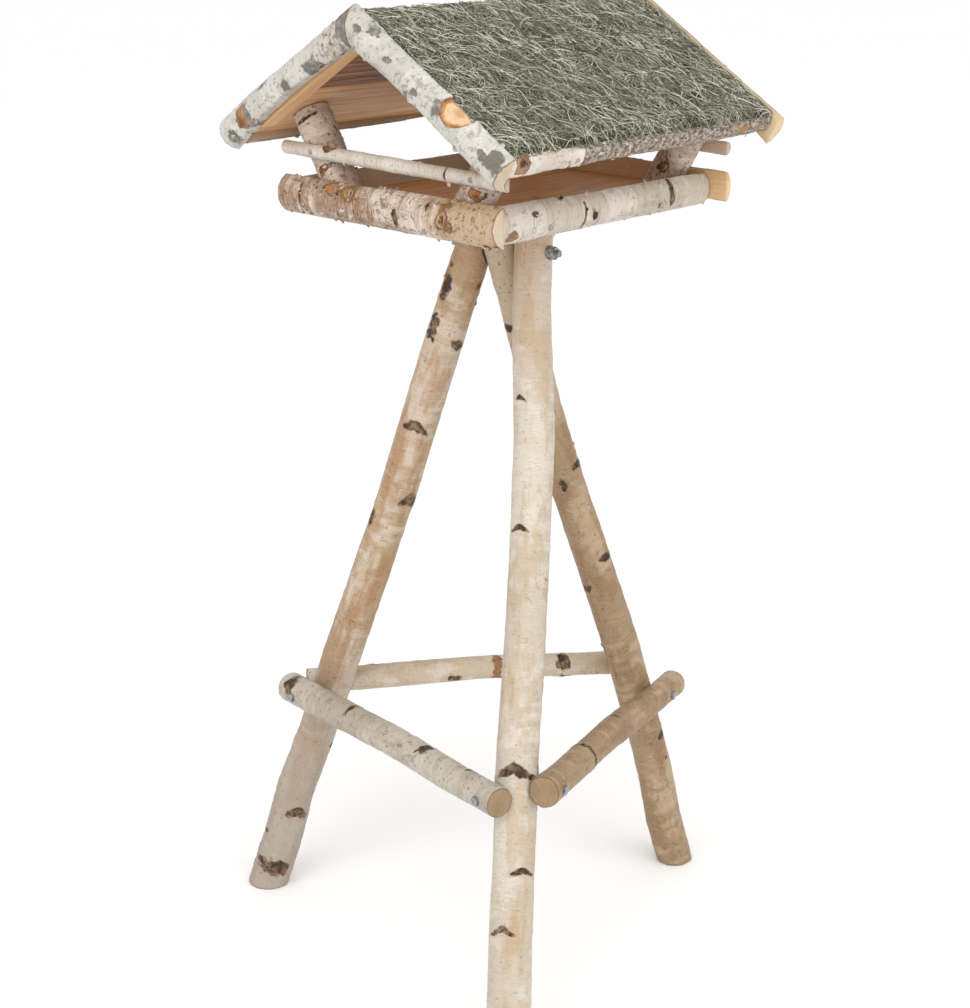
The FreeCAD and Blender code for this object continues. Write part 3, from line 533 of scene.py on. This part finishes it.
class Bark(Looks):
    """Birch bark in bands of paper with ridges, streaks, dashes, grime and marks, over sawn wood."""

    def __init__(self, name, recipe):
        super().__init__(name)
        self.recipe = recipe
        colours = {**MARK_PAINT, **recipe}
        self.paint = {part: screen(*value) for part, value in colours.items() if isinstance(value, tuple)}
        self.grain = self.attribute("grain", "Vector")
        self.noises = {kind: self.noise(self.grain, *shape) for kind, shape in BARK_NOISE.items()}
        self.border = self.math("MULTIPLY", self.math("SUBTRACT", self.noises["specks"], 0.5), BORDER_WEAR)
        self.scar = self.ragged("scar", 0.45, 0.75, 0.95)

    def ragged(self, field, low, high, top=1.0, wear=1.0):
        """A stored field whose border is broken up."""
        broken = self.math("ADD", self.math("MULTIPLY", self.border, wear), 1.0)
        return self.ease(self.math("MULTIPLY", self.attribute(field), broken), low, high, top)

    def over(self, skin, share, colour):
        """A named colour laid over the skin by a share."""
        return self.mix(share, skin, self.paint[colour])

    def spotted(self, noise, low, high, first, second):
        """Two named colours that change with a noise."""
        return self.mix(self.ease(self.noises[noise], low, high), self.paint[first], self.paint[second])

    def paper(self):
        """The bark's skin without marks."""
        noises, recipe = self.noises, self.recipe
        skin = self.mix(self.ragged("plate", 0.0, 1.0), self.paint["tint"], self.paint["pale"])
        layers = (
            (self.ease(noises["bands"], 0.42, 0.72, recipe["banded"]), "tint"),
            (self.cover(noises["streaks"], recipe["stained"], 0.85, BROAD_EDGE), "stain"),
            (self.ease(noises["patches"], 0.5, 0.6, recipe["patchy"]), "stain"),
            (self.ease(noises["ridges"], 0.5, 0.74, recipe["ridged"]), "grime"),
            (self.ease(noises["ridges"], 0.46, 0.26, recipe["ridged"]), "pale"),
            (self.cover(noises["dashes"], recipe["dashed"], 0.5), "dash"),
            (self.ease(noises["fine"], 0.35, 0.8, 0.3), "dash"),
            (self.cover(noises["blotches"], recipe["grimy"], 0.75, BROAD_EDGE), "grime"),
            (self.math("MULTIPLY", self.attribute("fade"), 0.75), "faded"),
            (self.cover(noises["specks"], 0.85 * recipe["grimy"], 0.7), "grime"),
        )
        for share, colour in layers:
            skin = self.over(skin, share, colour)
        return skin

    def marked(self, skin):
        """The skin with weathered, bare and torn places and scars."""
        worn = self.spotted("weather", 0.4, 0.6, "worn", "worn_dark")
        skin = self.mix(self.ragged("aged", 0.35, 0.65), skin, worn)
        bare = self.spotted("blotches", 0.4, 0.62, "bare_dark", "bare")
        skin = self.mix(self.ragged("bare", 0.35, 0.6, 0.95, 0.6), skin, bare)
        inner = self.spotted("blotches", 0.42, 0.6, "inner_dark", "inner")
        inner = self.over(inner, self.ease(self.noises["specks"], 0.62, 0.78), "inner_pale")
        skin = self.over(skin, self.ragged("torn", 0.12, 0.40, 0.8), "halo")
        skin = self.over(skin, self.ragged("torn", 0.34, 0.50), "scar")
        skin = self.mix(self.ragged("torn", 0.50, 0.72), skin, inner)
        skin = self.over(skin, self.ragged("scar", 0.10, 0.55, 0.75), "halo")
        skin = self.mix(self.scar, skin, self.spotted("blotches", 0.42, 0.62, "scar", "halo"))
        flecks = self.ease(self.noises["specks"], 0.45, 0.6, 0.8)
        return self.over(skin, self.math("MULTIPLY", self.scar, flecks), "scar")

    def branched(self, skin):
        """The skin with sawn stubs and knots."""
        stub = self.attribute("stub")
        worn = self.math("ADD", stub, self.math("MULTIPLY", self.border, 0.16))
        wood = self.mix(self.ease(worn, 0.14, 0.32), self.paint["stub_rim"], self.paint["stub_wood"])
        wood = self.over(wood, self.ease(worn, 0.62, 0.9, 0.7), "stub_heart")
        wood = self.over(wood, self.ease(self.noises["blotches"], 0.5, 0.72, 0.5), "stub_blotch")
        wood = self.mix(self.ease(worn, 0.03, 0.13), self.paint["stub_edge"], wood)
        skin = self.mix(self.ease(stub, 0.01, 0.05), skin, wood)
        collar = self.spotted("ridges", 0.4, 0.65, "collar", "collar_dark")
        eye = self.spotted("blotches", 0.4, 0.6, "eye", "eye_pale")
        # The middle of each knot's eye is painted dark: painted shade in the knot's hollow
        eye = self.over(eye, self.ragged("knot", 1.4, 1.75, 0.9, 0.5), "eye_hole_painted_shade")
        knot = self.mix(self.ragged("knot", 0.95, 1.15, 1.0, 0.4), collar, eye)
        return self.mix(self.ragged("knot", 0.25, 0.5, 1.0, 0.6), skin, knot)

    def sawn(self):
        """The sawn wood under the bark."""
        ring = self.math("MULTIPLY", self.rings(self.grain, *LOG_RINGS), 0.14)
        wood = self.mix(ring, self.paint["sawn"], self.paint["sawn_dark"])
        wood = self.over(wood, self.ease(self.noises["lines"], 0.45, 0.75, 0.3), "sawn_dark")
        return self.over(wood, self.ease(self.noises["streaks"], 0.45, 0.7, 0.35), "sawn_dark")

    def relief(self):
        """Height of the fine relief."""
        weights = {"bands": 0.6, "ridges": -0.9 * self.recipe["ridged"], "dashes": -0.3, "fine": 0.35,
                   "blotches": 0.9}
        height = self.math("MULTIPLY", self.scar, -0.5)
        for noise, weight in weights.items():
            height = self.math("ADD", height, self.math("MULTIPLY", self.noises[noise], weight))
        return height

    def finished(self):
        """The material with bark and sawn wood where the mesh stores them."""
        bark = self.attribute("bark")
        skin = self.branched(self.marked(self.paper()))
        skin = self.mix(self.ease(bark, 0.6, 0.85), self.paint["cut_edge"], skin)
        base = self.mix(self.ease(bark, 0.35, 0.6), self.sawn(), skin)
        roughness = self.ease(self.noises["fine"], 0.2, 0.8, 0.95)
        return self.surface(base, roughness, self.relief(), BARK_BUMP, {"Specular IOR Level": 0.2})


def pine_looks(name, light, dark, growth):
    """Sawn softwood with growth rings, fine grain lines and a little darkening."""
    looks = Looks(name)
    light, dark = screen(*light), screen(*dark)
    grain = looks.attribute("grain", "Vector")
    ring = looks.rings(grain, *growth)
    line = looks.noise(grain, PINE_LINES)
    broad = looks.noise(grain, PINE_SHADE)
    wood = looks.mix(looks.math("MULTIPLY", ring, 0.45), light, dark)
    wood = looks.mix(looks.ease(line, 0.45, 0.8, 0.45), wood, dark)
    wood = looks.mix(looks.ease(broad, 0.45, 0.75, 0.4), wood, dark)
    height = looks.math("ADD", line, looks.math("MULTIPLY", ring, 0.4))
    roughness = looks.ease(line, 0.0, 1.0, 1.2)
    return looks.surface(wood, roughness, height, PINE_BUMP, {"Specular IOR Level": 0.25})


def hay_looks(name, shade, mid, light):
    """Dry hay whose strands differ in tone."""
    looks = Looks(name)
    shade, mid, light = screen(*shade), screen(*mid), screen(*light)
    tone = looks.attribute("tone")
    fine = looks.noise(looks.attribute("grain", "Vector"), HAY_FLECKS)
    straw = looks.mix(looks.ease(tone, 0.05, 0.6), shade, mid)
    straw = looks.mix(looks.ease(tone, 0.6, 1.0), straw, light)
    straw = looks.mix(looks.ease(fine, 0.45, 0.7, 0.45), straw, shade)
    return looks.surface(straw, looks.ease(fine, 0.0, 1.0, 1.1), fine, HAY_BUMP, {"Specular IOR Level": 0.3})


def zinc_looks(name, bright, dull, metallic):
    """Zinc-plated steel with a cloudy dull film."""
    looks = Looks(name)
    place = looks.nodes.new("ShaderNodeTexCoord").outputs["Object"]
    cloud = looks.noise(place, ZINC_CLOUDS, 4.0)
    fine = looks.noise(place, ZINC_GRAIN)
    steel = looks.mix(looks.ease(cloud, 0.35, 0.7), screen(*bright), screen(*dull))
    return looks.surface(steel, looks.ease(cloud, 0.0, 1.2, 0.8), fine, ZINC_BUMP, {"Metallic": metallic})


# Timber

def read(items, name):
    """A vector property of many mesh elements as an array."""
    values = np.zeros(len(items) * 3, np.float32)
    items.foreach_get(name, values)
    return values.reshape(-1, 3).astype(float)


def store(mesh, name, values):
    """Numbers or vectors kept on a mesh's points for its material."""
    kind, field = ("FLOAT", "value") if values.ndim == 1 else ("FLOAT_VECTOR", "vector")
    mesh.attributes.new(name, kind, "POINT").data.foreach_set(field, values.astype(np.float32).ravel())


def add_piece(name, mesh, material, slot, *stands_for):
    """A finished piece that rides on the part and stands for its solids."""
    piece = bpy.data.objects.new(name, mesh)
    scene.collection.objects.link(piece)
    mesh.materials.clear()
    mesh.materials.append(material)
    mesh.shade_smooth()
    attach(piece, "root")
    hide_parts(*stands_for)
    return piece


def even_net(node, spacing):
    """An even net of small faces over a node's solid."""
    copy = bpy.data.objects.new(node + "_net", nodes[node].data.copy())
    scene.collection.objects.link(copy)
    remesh = copy.modifiers.new("net", "REMESH")
    remesh.mode = "VOXEL"
    remesh.voxel_size = spacing
    net = bpy.data.meshes.new_from_object(copy.evaluated_get(bpy.context.evaluated_depsgraph_get()))
    bpy.data.objects.remove(copy)
    net.name = node + "_net"
    return net


def soften(mesh, values, rounds):
    """Values on a mesh's points, averaged a few times with those of the points around them."""
    ends = np.zeros(len(mesh.edges) * 2, np.int32)
    mesh.edges.foreach_get("vertices", ends)
    first, second = ends.reshape(-1, 2).T
    count = len(values)
    around = np.bincount(ends, minlength=count)
    for _ in range(rounds):
        total = np.bincount(first, values[second], count) + np.bincount(second, values[first], count)
        values = (values + total / around) / 2
    return values


def solid_normals(node, points):
    """Direction of the solid's face nearest to each point."""
    tree = BVHTree.FromObject(nodes[node], bpy.context.evaluated_depsgraph_get())
    return np.array([tree.find_nearest(Vector(point))[1] for point in points])


def grain_axes(points, bark_side):
    """Middle of a timber, then its directions across, outward and along."""
    middle = points.mean(axis=0)
    spread = points - middle
    along = np.linalg.eigh(spread.T @ spread)[1][:, 2]
    along = along * np.sign(along[np.argmax(np.abs(along))])
    outward = np.array(bark_side, float)
    outward = outward - along * (outward @ along)
    outward = outward / np.linalg.norm(outward)
    return middle, np.cross(outward, along), outward, along


def seen_marks(node):
    """The marks that the photograph shows on a timber, in the part's frame."""
    return [(TRAY + np.array(spot) * MM, width * MM, length * MM, kind)
            for *spot, width, length, kind in MARKS.get(node, ())]


def hidden_marks(points, normals, bark, count, chance):
    """A few more marks where the photograph doesn't reach, so that every side is bark with life in it."""
    view = np.array(CAMERA_OFFSET) / np.linalg.norm(CAMERA_OFFSET)
    places = points[(bark > 0.5) & (normals @ view < HIDDEN_FACING)]
    if not len(places):
        return []
    picks = chance.integers(0, len(places), count)
    return [(places[pick], chance.uniform(*HIDDEN_WIDTH) * MM, chance.uniform(*HIDDEN_LENGTH) * MM,
             chance.choice(HIDDEN_KINDS)) for pick in picks]


def mark_distance(points, along, place, width, length, kind):
    """Distance from a mark's middle: 1 at its border, which is uneven but for swells and stubs."""
    gap = points - place
    lengthwise = gap @ along
    sideways = np.linalg.norm(gap - np.outer(lengthwise, along), axis=1)
    if kind == "brow":
        lengthwise = lengthwise + BROW_SLOPE * sideways
    near = np.sqrt((2 * sideways / width) ** 2 + (2 * lengthwise / length) ** 2)
    if kind in MARK_RELIEF:
        wear = BROW_WEAR if kind == "brow" else 1.0
        uneven = 0.45 * smooth_noise(points * 130, 5) + 0.3 * smooth_noise(points * 310, 6)
        near = near * (1 + wear * uneven)
    return near


def add_stub(gap, normals, near, width, shift, fields):
    """A branch sawn off: a level face inside a collar of bark."""
    facing = normals[np.argmin(np.linalg.norm(gap, axis=1))]
    rise = -STUB_SINK * width - gap @ facing
    inside = 1 - ease(near, 0.92, 1.12)
    shift += inside * rise + (1 - inside) * STUB_COLLAR * np.exp(-9 * (near - 1.1) ** 2)
    fields["stub"] = np.maximum(fields["stub"], np.clip(1.08 - near, 0, 1))


def add_mark(points, normals, along, mark, shift, fields):
    """One mark in the bark: adds its relief to the shift and its colour's share to a field."""
    place, width, length, kind = mark
    near = mark_distance(points, along, *mark)
    if kind == "swell":
        shift += SWELL * np.exp(-near ** 2)
        return
    if kind == "stub":
        add_stub(points - place, normals, near, min(width, length), shift, fields)
        return
    share = 1 - ease(near, 0.55, 1.4)
    rim_height, rim_sharpness, rim_place, depth, pit_sharpness = MARK_RELIEF[kind]
    rim = rim_height * np.exp(-rim_sharpness * (near - rim_place) ** 2)
    pit = depth * (share if pit_sharpness is None else np.exp(-pit_sharpness * near ** 2))
    shift += min(1.0, min(width, length) / FULL_RELIEF_SIZE) * MM * (rim - pit)
    if kind == "ring":
        share = 0.75 * share * ease(smooth_noise(points * 60, 7), -0.2, 0.3)
    elif kind == "knot":
        share = 1.75 * np.clip(1.2 - near, 0, 1)
    field = MARK_FIELD[kind]
    fields[field] = np.maximum(fields[field], share)


def bark_plates(place, slot, seed):
    """Share of paler bark at each point."""
    plate = smooth_noise(place * PLATES[slot], seed + 4) + 0.5 * smooth_noise(place * PLATE_BREAKS, seed + 5)
    return ease(plate + 0.25 * smooth_noise(place * PLATE_FRAY, seed + 6), -0.35, 0.4)


def timber_relief(place, bark, sawn, plate, lumps, seed):
    """How far each point of a timber stands out: lumps, waves and pores of bark, saw marks on cut faces."""
    bumps = smooth_noise(place * LUMP_SCALE, seed) + 0.5 * smooth_noise(place * WAVE_SCALE, seed + 1)
    pores = PORE_HEIGHT * smooth_noise(place * PORE_SCALE, seed + 2)
    cuts = SAW_HEIGHT * smooth_noise(place * SAW_SCALE, seed + 3)
    return bark * (lumps * (bumps + 0.5 * plate) + pores) + sawn * cuts


def dress_timber(node, bark_side, kind, number):
    """A barked timber: an even net over its solid with lumps, marks, rough sawn faces and curls of bark."""
    seed, slot = kind["seed"] + number, kind["slot"]
    chance = np.random.default_rng(seed)
    material = bark_materials[BARK_OF[node]]
    mesh = even_net(node, kind["net"])
    points, normals = read(mesh.vertices, "co"), read(mesh.vertex_normals, "vector")
    faces = solid_normals(node, points)
    middle, across, outward, along = grain_axes(points, bark_side or ROUND_REFERENCE)
    sawn = np.abs(faces @ along) > END_FACING
    if bark_side:
        sawn |= faces @ outward < FLAT_FACING
    bark = soften(mesh, 1.0 - sawn, CUT_ROUNDS)
    grain = np.stack([(points - middle) @ axis for axis in (across, outward, along)], axis=1)
    place = grain + seed * TIMBER_STEP
    plate = bark_plates(place, slot, seed)
    shift = timber_relief(place, bark, sawn, plate, kind["lumps"], seed)
    fields = {name: np.zeros(len(points)) for name in FIELDS}
    for mark in seen_marks(node) + hidden_marks(points, normals, bark, kind["scars"], chance):
        add_mark(points, normals, along, mark, shift, fields)
    moved = points + normals * shift[:, None]
    mesh.vertices.foreach_set("co", moved.astype(np.float32).ravel())
    if node in AGED:
        axis, start, end, strength = AGED[node]
        fields["aged"] = strength * ease(points[:, axis], start, end)
    if node in FADES:
        axis, start, end = FADES[node]
        fields["fade"] = ease(points[:, axis], start, end)
    for name, values in fields.items():
        store(mesh, name, values * bark)
    store(mesh, "grain", place)
    store(mesh, "bark", bark)
    store(mesh, "plate", plate)
    add_piece(node + "_birch", mesh, material, slot, node)
    weight = bark * (FLAKE_CHANCE + fields["torn"])
    count = FLAKES.get(node, kind["flakes"])
    roots = chance.choice(len(points), count, replace=False, p=weight / weight.sum())
    add_flakes(node, moved[roots], normals[roots], place[roots], along, slot, material, chance)


def add_flakes(node, roots, out, places, along, slot, material, chance):
    """Thin curls of bark that peel off around a timber, most of them near torn places."""
    count = len(roots)
    around = np.cross(along, out) * chance.choice([-1.0, 1.0], count)[:, None]
    width = chance.uniform(*FLAKE_WIDTH, count) * MM
    reach = chance.uniform(*FLAKE_REACH, count) * MM
    rise = chance.uniform(*FLAKE_RISE, count) * MM
    slant = chance.normal(0, FLAKE_SLANT, count)
    corners = []
    for share in np.linspace(0, 1, FLAKE_STATIONS):
        height = rise * share ** 1.7 - FLAKE_ROOT * (1 - share)
        middle = roots + around * (reach * share)[:, None] + out * height[:, None]
        middle = middle + along * (slant * reach * share)[:, None]
        half = width * (0.5 - 0.28 * share) * chance.uniform(0.75, 1.15, count)
        for side, thickness in ((-1, 0.0), (1, 0.0), (1, FLAKE_THICKNESS), (-1, FLAKE_THICKNESS)):
            corners.append(middle + along * (side * half)[:, None] + out * thickness)
    size = len(corners)
    points = np.stack(corners, axis=1).reshape(-1, 3)
    faces = [(0, 3, 2, 1), tuple(range(size - 4, size))]
    for low in range(0, size - 4, 4):
        faces += [(low + i, low + (i + 1) % 4, low + 4 + (i + 1) % 4, low + 4 + i) for i in range(4)]
    mesh = bpy.data.meshes.new(node + "_flakes")
    mesh.from_pydata(points.tolist(), [],
                     [tuple(flake * size + i for i in face) for flake in range(count) for face in faces])
    store(mesh, "grain", points + np.repeat(places - roots, size, axis=0))
    store(mesh, "bark", np.ones(len(points)))
    store(mesh, "plate", np.repeat(chance.uniform(0.0, 1.3, count), size))
    add_piece(node + "_flakes", mesh, material, slot, node)


def dress_board(node, along, outward, material, number):
    """A sawn board with softened long edges."""
    mesh = nodes[node].data.copy()
    net = bmesh.new()
    net.from_mesh(mesh)
    bmesh.ops.remove_doubles(net, verts=net.verts, dist=WELD)
    bmesh.ops.dissolve_limit(net, angle_limit=FLAT_ANGLE, verts=net.verts, edges=net.edges)
    edges = [edge for edge in net.edges if edge.calc_length() > EDGE_LENGTH
             and len(edge.link_faces) == 2 and edge.calc_face_angle() > EDGE_ANGLE]
    bmesh.ops.bevel(net, geom=edges, offset=EDGE_SOFTENING, segments=2, profile=0.5, affect="EDGES")
    bmesh.ops.triangulate(net, faces=net.faces)
    net.to_mesh(mesh)
    net.free()
    points = read(mesh.vertices, "co")
    axes = (np.cross(outward, along), outward, along)
    grain = np.stack([(points - points.mean(axis=0)) @ np.array(axis) for axis in axes], axis=1)
    store(mesh, "grain", grain + (0, 0, number * BOARD_STEP))
    add_piece(node + "_pine", mesh, material, "pine", node)
    mesh.shade_flat()


# Hay roof

def slope_axes(side):
    """Directions down the slope, out of it and along the ridge."""
    down = np.array((side * math.cos(ROOF_PITCH), 0, -math.sin(ROOF_PITCH)))
    out = np.array((side * math.sin(ROOF_PITCH), 0, math.cos(ROOF_PITCH)))
    return down, out, np.array((0.0, 1.0, 0.0))


def dress_hay_mat(node, side, material, seed):
    """The felted mat under the loose strands, with an uneven top."""
    mesh = even_net(node, MAT_NET)
    points, normals = read(mesh.vertices, "co"), read(mesh.vertex_normals, "vector")
    up = np.clip(normals @ slope_axes(side)[1], 0, 1)
    shift = np.zeros(len(points))
    for step, (height, scale) in enumerate(MAT_RELIEF):
        shift += up * height * MM * smooth_noise(points * scale, seed + step)
    mesh.vertices.foreach_set("co", (points + normals * shift[:, None]).astype(np.float32).ravel())
    store(mesh, "grain", points)
    store(mesh, "tone", 0.25 + 0.25 * smooth_noise(points * MAT_TONE_SCALE, seed + len(MAT_RELIEF)))
    return add_piece(node + "_mat", mesh, material, "thatch", node)


def strand_lines(node, side, count, mat, chance):
    """Middle lines of loose hay strands that lie tangled on a slope's mat."""
    down, out, ridge = slope_axes(side)
    corners = read(nodes[node].data.vertices, "co")
    low_down, high_down = (corners @ down).min(), (corners @ down).max()
    low_y, high_y = corners[:, 1].min(), corners[:, 1].max()
    top = (corners @ out).max()
    places = np.stack([chance.uniform(low_down, high_down, count), chance.uniform(low_y, high_y, count)], 1)
    heading = np.where(chance.random(count) < COMBED_SHARE, chance.normal(*COMBED_HEADING, count),
                       chance.uniform(-math.pi, math.pi, count))
    turn = chance.normal(0, STRAND_TURN, count)
    length = STRAND_SHORTEST + STRAND_LONGER * chance.beta(*STRAND_LENGTHS, count)
    lift = chance.uniform(*STRAND_LIFT, count)
    arch = chance.uniform(*STRAND_ARCH, count)
    ground = BVHTree.FromObject(mat, bpy.context.evaluated_depsgraph_get())
    lines = np.zeros((count, STRAND_RINGS, 3))
    for ring in range(STRAND_RINGS):
        share = ring / (STRAND_RINGS - 1) - 0.5
        angle = heading + turn * share
        at_down = np.clip(places[:, 0] + np.cos(angle) * length * share,
                          low_down + STRAND_INSET, high_down + EAVE_OVERHANG)
        at_y = np.clip(places[:, 1] + np.sin(angle) * length * share,
                       low_y + STRAND_INSET, high_y - STRAND_INSET)
        flat = np.outer(at_down, down) + np.outer(at_y, ridge)
        falls = [ground.ray_cast(Vector(place), Vector(-out))[3] for place in flat + (top + RAY_START) * out]
        surface = np.array([top - 2 * MM if fall is None else top + RAY_START - fall for fall in falls])
        beyond = np.clip(at_down - high_down, 0, 1)
        height = surface + lift + arch * (1 - 4 * share * share) - EAVE_DROOP * beyond
        lines[:, ring] = flat + np.outer(height, out)
    return lines


def ridge_lines(mats, count, chance):
    """Middle lines of hay strands that lie across the ridge, over the joint of the two mats."""
    low, high = (np.array(corner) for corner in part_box("thatch_right"))
    middle_y = chance.uniform(low[1] + RIDGE_INSET, high[1] - RIDGE_INSET, count)
    heading = chance.normal(0, RIDGE_HEADING, count)
    length = chance.uniform(*RIDGE_LENGTH, count)
    offset = chance.uniform(*RIDGE_OFFSET, count)
    lift = chance.uniform(*RIDGE_LIFT, count)
    depsgraph = bpy.context.evaluated_depsgraph_get()
    grounds = {side: BVHTree.FromObject(mat, depsgraph) for side, mat in mats.items()}
    lines = np.zeros((count, STRAND_RINGS, 3))
    for ring in range(STRAND_RINGS):
        along = (ring / (STRAND_RINGS - 1) - 0.5 + offset) * length
        at_x = low[0] + along * np.cos(heading)
        at_y = np.clip(middle_y + along * np.sin(heading), low[1] + STRAND_INSET, high[1] - STRAND_INSET)
        above = np.stack([at_x, at_y, np.full(count, high[2] + RAY_START)], axis=1)
        falls = [grounds[1 if place[0] > low[0] else -1].ray_cast(Vector(place), Vector((0, 0, -1)))[3]
                 for place in above]
        surface = np.array([high[2] if fall is None else high[2] + RAY_START - fall for fall in falls])
        lines[:, ring] = np.stack([at_x, at_y, surface + lift + RIDGE_CLEARANCE], axis=1)
    return lines


def dress_strands(name, lines, out, material, chance, *stands_for):
    """Loose strands as thin three-sided stalks, all in one piece."""
    count = len(lines)
    sideways = np.cross(np.gradient(lines, axis=1), out)
    sideways /= np.maximum(np.linalg.norm(sideways, axis=2, keepdims=True), 1e-9)
    radius = chance.uniform(*STRAND_RADIUS, count)[:, None, None] * np.array(STRAND_TAPER)[None, :, None]
    stalks = [lines + radius * (math.cos(turn) * out + math.sin(turn) * sideways)
              for turn in (0.0, 2 * math.pi / 3, 4 * math.pi / 3)]
    points = np.stack(stalks, axis=2).reshape(-1, 3)
    first = np.arange(count)[:, None, None] * STRAND_RINGS * 3
    base = first + np.arange(STRAND_RINGS - 1)[None, :, None] * 3
    corner = np.arange(3)[None, None, :]
    after = (corner + 1) % 3
    quads = np.stack([base + corner, base + after, base + after + 3, base + corner + 3], axis=3)
    mesh = bpy.data.meshes.new(name)
    mesh.from_pydata(points.tolist(), [], quads.reshape(-1, 4).tolist())
    store(mesh, "grain", points)
    store(mesh, "tone", np.repeat(chance.beta(*STRAND_TONE, count), STRAND_RINGS * 3))
    add_piece(name, mesh, material, "thatch", *stands_for)


# Stage

def place_camera():
    """Camera at the photograph's place and angle."""
    yaw, pitch = math.radians(CAMERA_YAW), math.radians(CAMERA_PITCH)
    ahead = Vector((-math.sin(yaw) * math.cos(pitch), math.cos(yaw) * math.cos(pitch), -math.sin(pitch)))
    right = Vector((math.cos(yaw), math.sin(yaw), 0))
    up = right.cross(ahead)
    data = bpy.data.cameras.new("camera")
    data.sensor_fit = "HORIZONTAL"
    data.sensor_width = SENSOR_WIDTH
    data.lens = FOCAL_PIXELS / PHOTO_WIDTH * SENSOR_WIDTH
    data.clip_end = FAR_CLIP
    camera = bpy.data.objects.new("camera", data)
    turn = Matrix((right, up, -ahead)).transposed().to_4x4()
    camera.matrix_world = Matrix.Translation(Vector(TRAY) + Vector(CAMERA_OFFSET)) @ turn
    scene.collection.objects.link(camera)
    scene.camera = camera


def add_light(name, kind, energy, aim):
    """A lamp that shines along an aim."""
    data = bpy.data.lights.new(name, kind)
    data.energy = energy
    light = bpy.data.objects.new(name, data)
    light.rotation_euler = Vector(aim).to_track_quat("-Z", "Y").to_euler()
    scene.collection.objects.link(light)
    return light


def lay_floor():
    """White floor."""
    mesh = bpy.data.meshes.new("floor")
    corners = [(x * FLOOR_REACH, y * FLOOR_REACH, 0) for x, y in ((-1, -1), (1, -1), (1, 1), (-1, 1))]
    mesh.from_pydata(corners, [], [(0, 1, 2, 3)])
    floor = bpy.data.objects.new("floor", mesh)
    scene.collection.objects.link(floor)
    looks = Looks("floor_white")
    looks.shader.inputs["Base Color"].default_value = FLOOR_PAINT
    looks.shader.inputs["Roughness"].default_value = FLOOR_ROUGHNESS
    mesh.materials.append(looks.material)


def set_sky():
    """Surroundings that are white at the horizon and dimmer above."""
    world = bpy.data.worlds.new("studio")
    world.use_nodes = True
    tree = world.node_tree
    height = tree.nodes.new("ShaderNodeSeparateXYZ")
    dim = tree.nodes.new("ShaderNodeMapRange")
    dim.interpolation_type = "SMOOTHSTEP"
    for socket, value in SKY_STRENGTH.items():
        dim.inputs[socket].default_value = value
    tree.links.new(tree.nodes.new("ShaderNodeTexCoord").outputs["Generated"], height.inputs["Vector"])
    tree.links.new(height.outputs["Z"], dim.inputs["Value"])
    tree.links.new(dim.outputs["Result"], tree.nodes["Background"].inputs["Strength"])
    tree.nodes["Background"].inputs["Color"].default_value = (1, 1, 1, 1)
    scene.world = world


def set_stage():
    """Floor, surroundings, soft square lamps aimed at the house and a broad sun that whitens the floor."""
    lay_floor()
    set_sky()
    for name, (place, energy, size) in LAMPS.items():
        lamp = add_light(name, "AREA", energy, Vector(TRAY) - Vector(place))
        lamp.location = place
        lamp.data.size = size
    sun = add_light("front_right", "SUN", SUN_STRENGTH, -Vector(SUN_TOWARDS))
    sun.data.angle = math.radians(SUN_SPREAD)
    scene.view_settings.view_transform = "Standard"


# The whole table

bark_materials = {name: Bark("bark_" + name, BARKS[name]).finished()
                  for name in sorted(set(BARK_OF.values()))}
for number, node in enumerate(POLES):
    dress_timber(node, None, POLE, number)
for number, node in enumerate(POSTS):
    dress_timber(node, None, POST, number)
for number, (node, bark_side) in enumerate(SLABS.items()):
    dress_timber(node, bark_side, PERCH if node.startswith("perch") else SLAB, number)

floor_pine = pine_looks("floor_pine", (240, 190, 134), (208, 152, 98), BOARD_RINGS)
roof_pine = pine_looks("roof_pine", (226, 182, 134), (190, 142, 94), BOARD_RINGS)
# The upper roof boards get a darker copy of the roof pine: painted shade on the upper part of the roof's
# underside
shade_painted_pine = pine_looks("shade_painted_pine", (152, 106, 76), (114, 72, 46), DARK_BOARD_RINGS)
for number, node in enumerate(("floor_plank_left", "floor_plank_right")):
    dress_board(node, (0, 1, 0), (0, 0, 1), floor_pine, number)
for side, name in ((-1, "left"), (1, "right")):
    down, out, ridge = slope_axes(side)
    dress_board("roof_plank_%s_upper" % name, ridge, out, shade_painted_pine, UPPER_PLANKS + side)
    dress_board("roof_plank_%s_lower" % name, ridge, out, roof_pine, LOWER_PLANKS + side)
    for gable in ("front", "rear"):
        dress_board("rafter_%s_%s" % (gable, name), down, out, roof_pine, RAFTERS + side)

hay = hay_looks("hay", (94, 94, 75), (184, 184, 162), (253, 250, 233))
# The mat under the strands is painted far darker than the strands themselves: painted shade for the deep gaps
# between them
hay_mat = hay_looks("hay_mat", (48, 48, 38), (80, 80, 66), (122, 121, 102))
mats = {}
for side, node in ((-1, "thatch_left"), (1, "thatch_right")):
    mats[side] = dress_hay_mat(node, side, hay_mat, MAT_SEED + side)
    chance = np.random.default_rng(STRAND_SEED + side)
    lines = strand_lines(node, side, STRANDS_PER_SLOPE, mats[side], chance)
    dress_strands(node + "_strands", lines, slope_axes(side)[1], hay, chance, node)
chance = np.random.default_rng(RIDGE_SEED)
lines = ridge_lines(mats, RIDGE_STRANDS, chance)
dress_strands("thatch_ridge_strands", lines, np.array((0.0, 0.0, 1.0)), hay, chance,
              "thatch_left", "thatch_right")

zinc = zinc_looks("zinc", (172, 174, 176), (112, 116, 120), 0.6)
dull_zinc = zinc_looks("dull_zinc", (184, 174, 160), (134, 123, 110), 0.25)
for node in frame["record"]["physics"]["no_collision_nodes"]:
    nodes[node].data.materials.clear()
    nodes[node].data.materials.append(dull_zinc if node.endswith("_nails") else zinc)

place_camera()
set_stage()
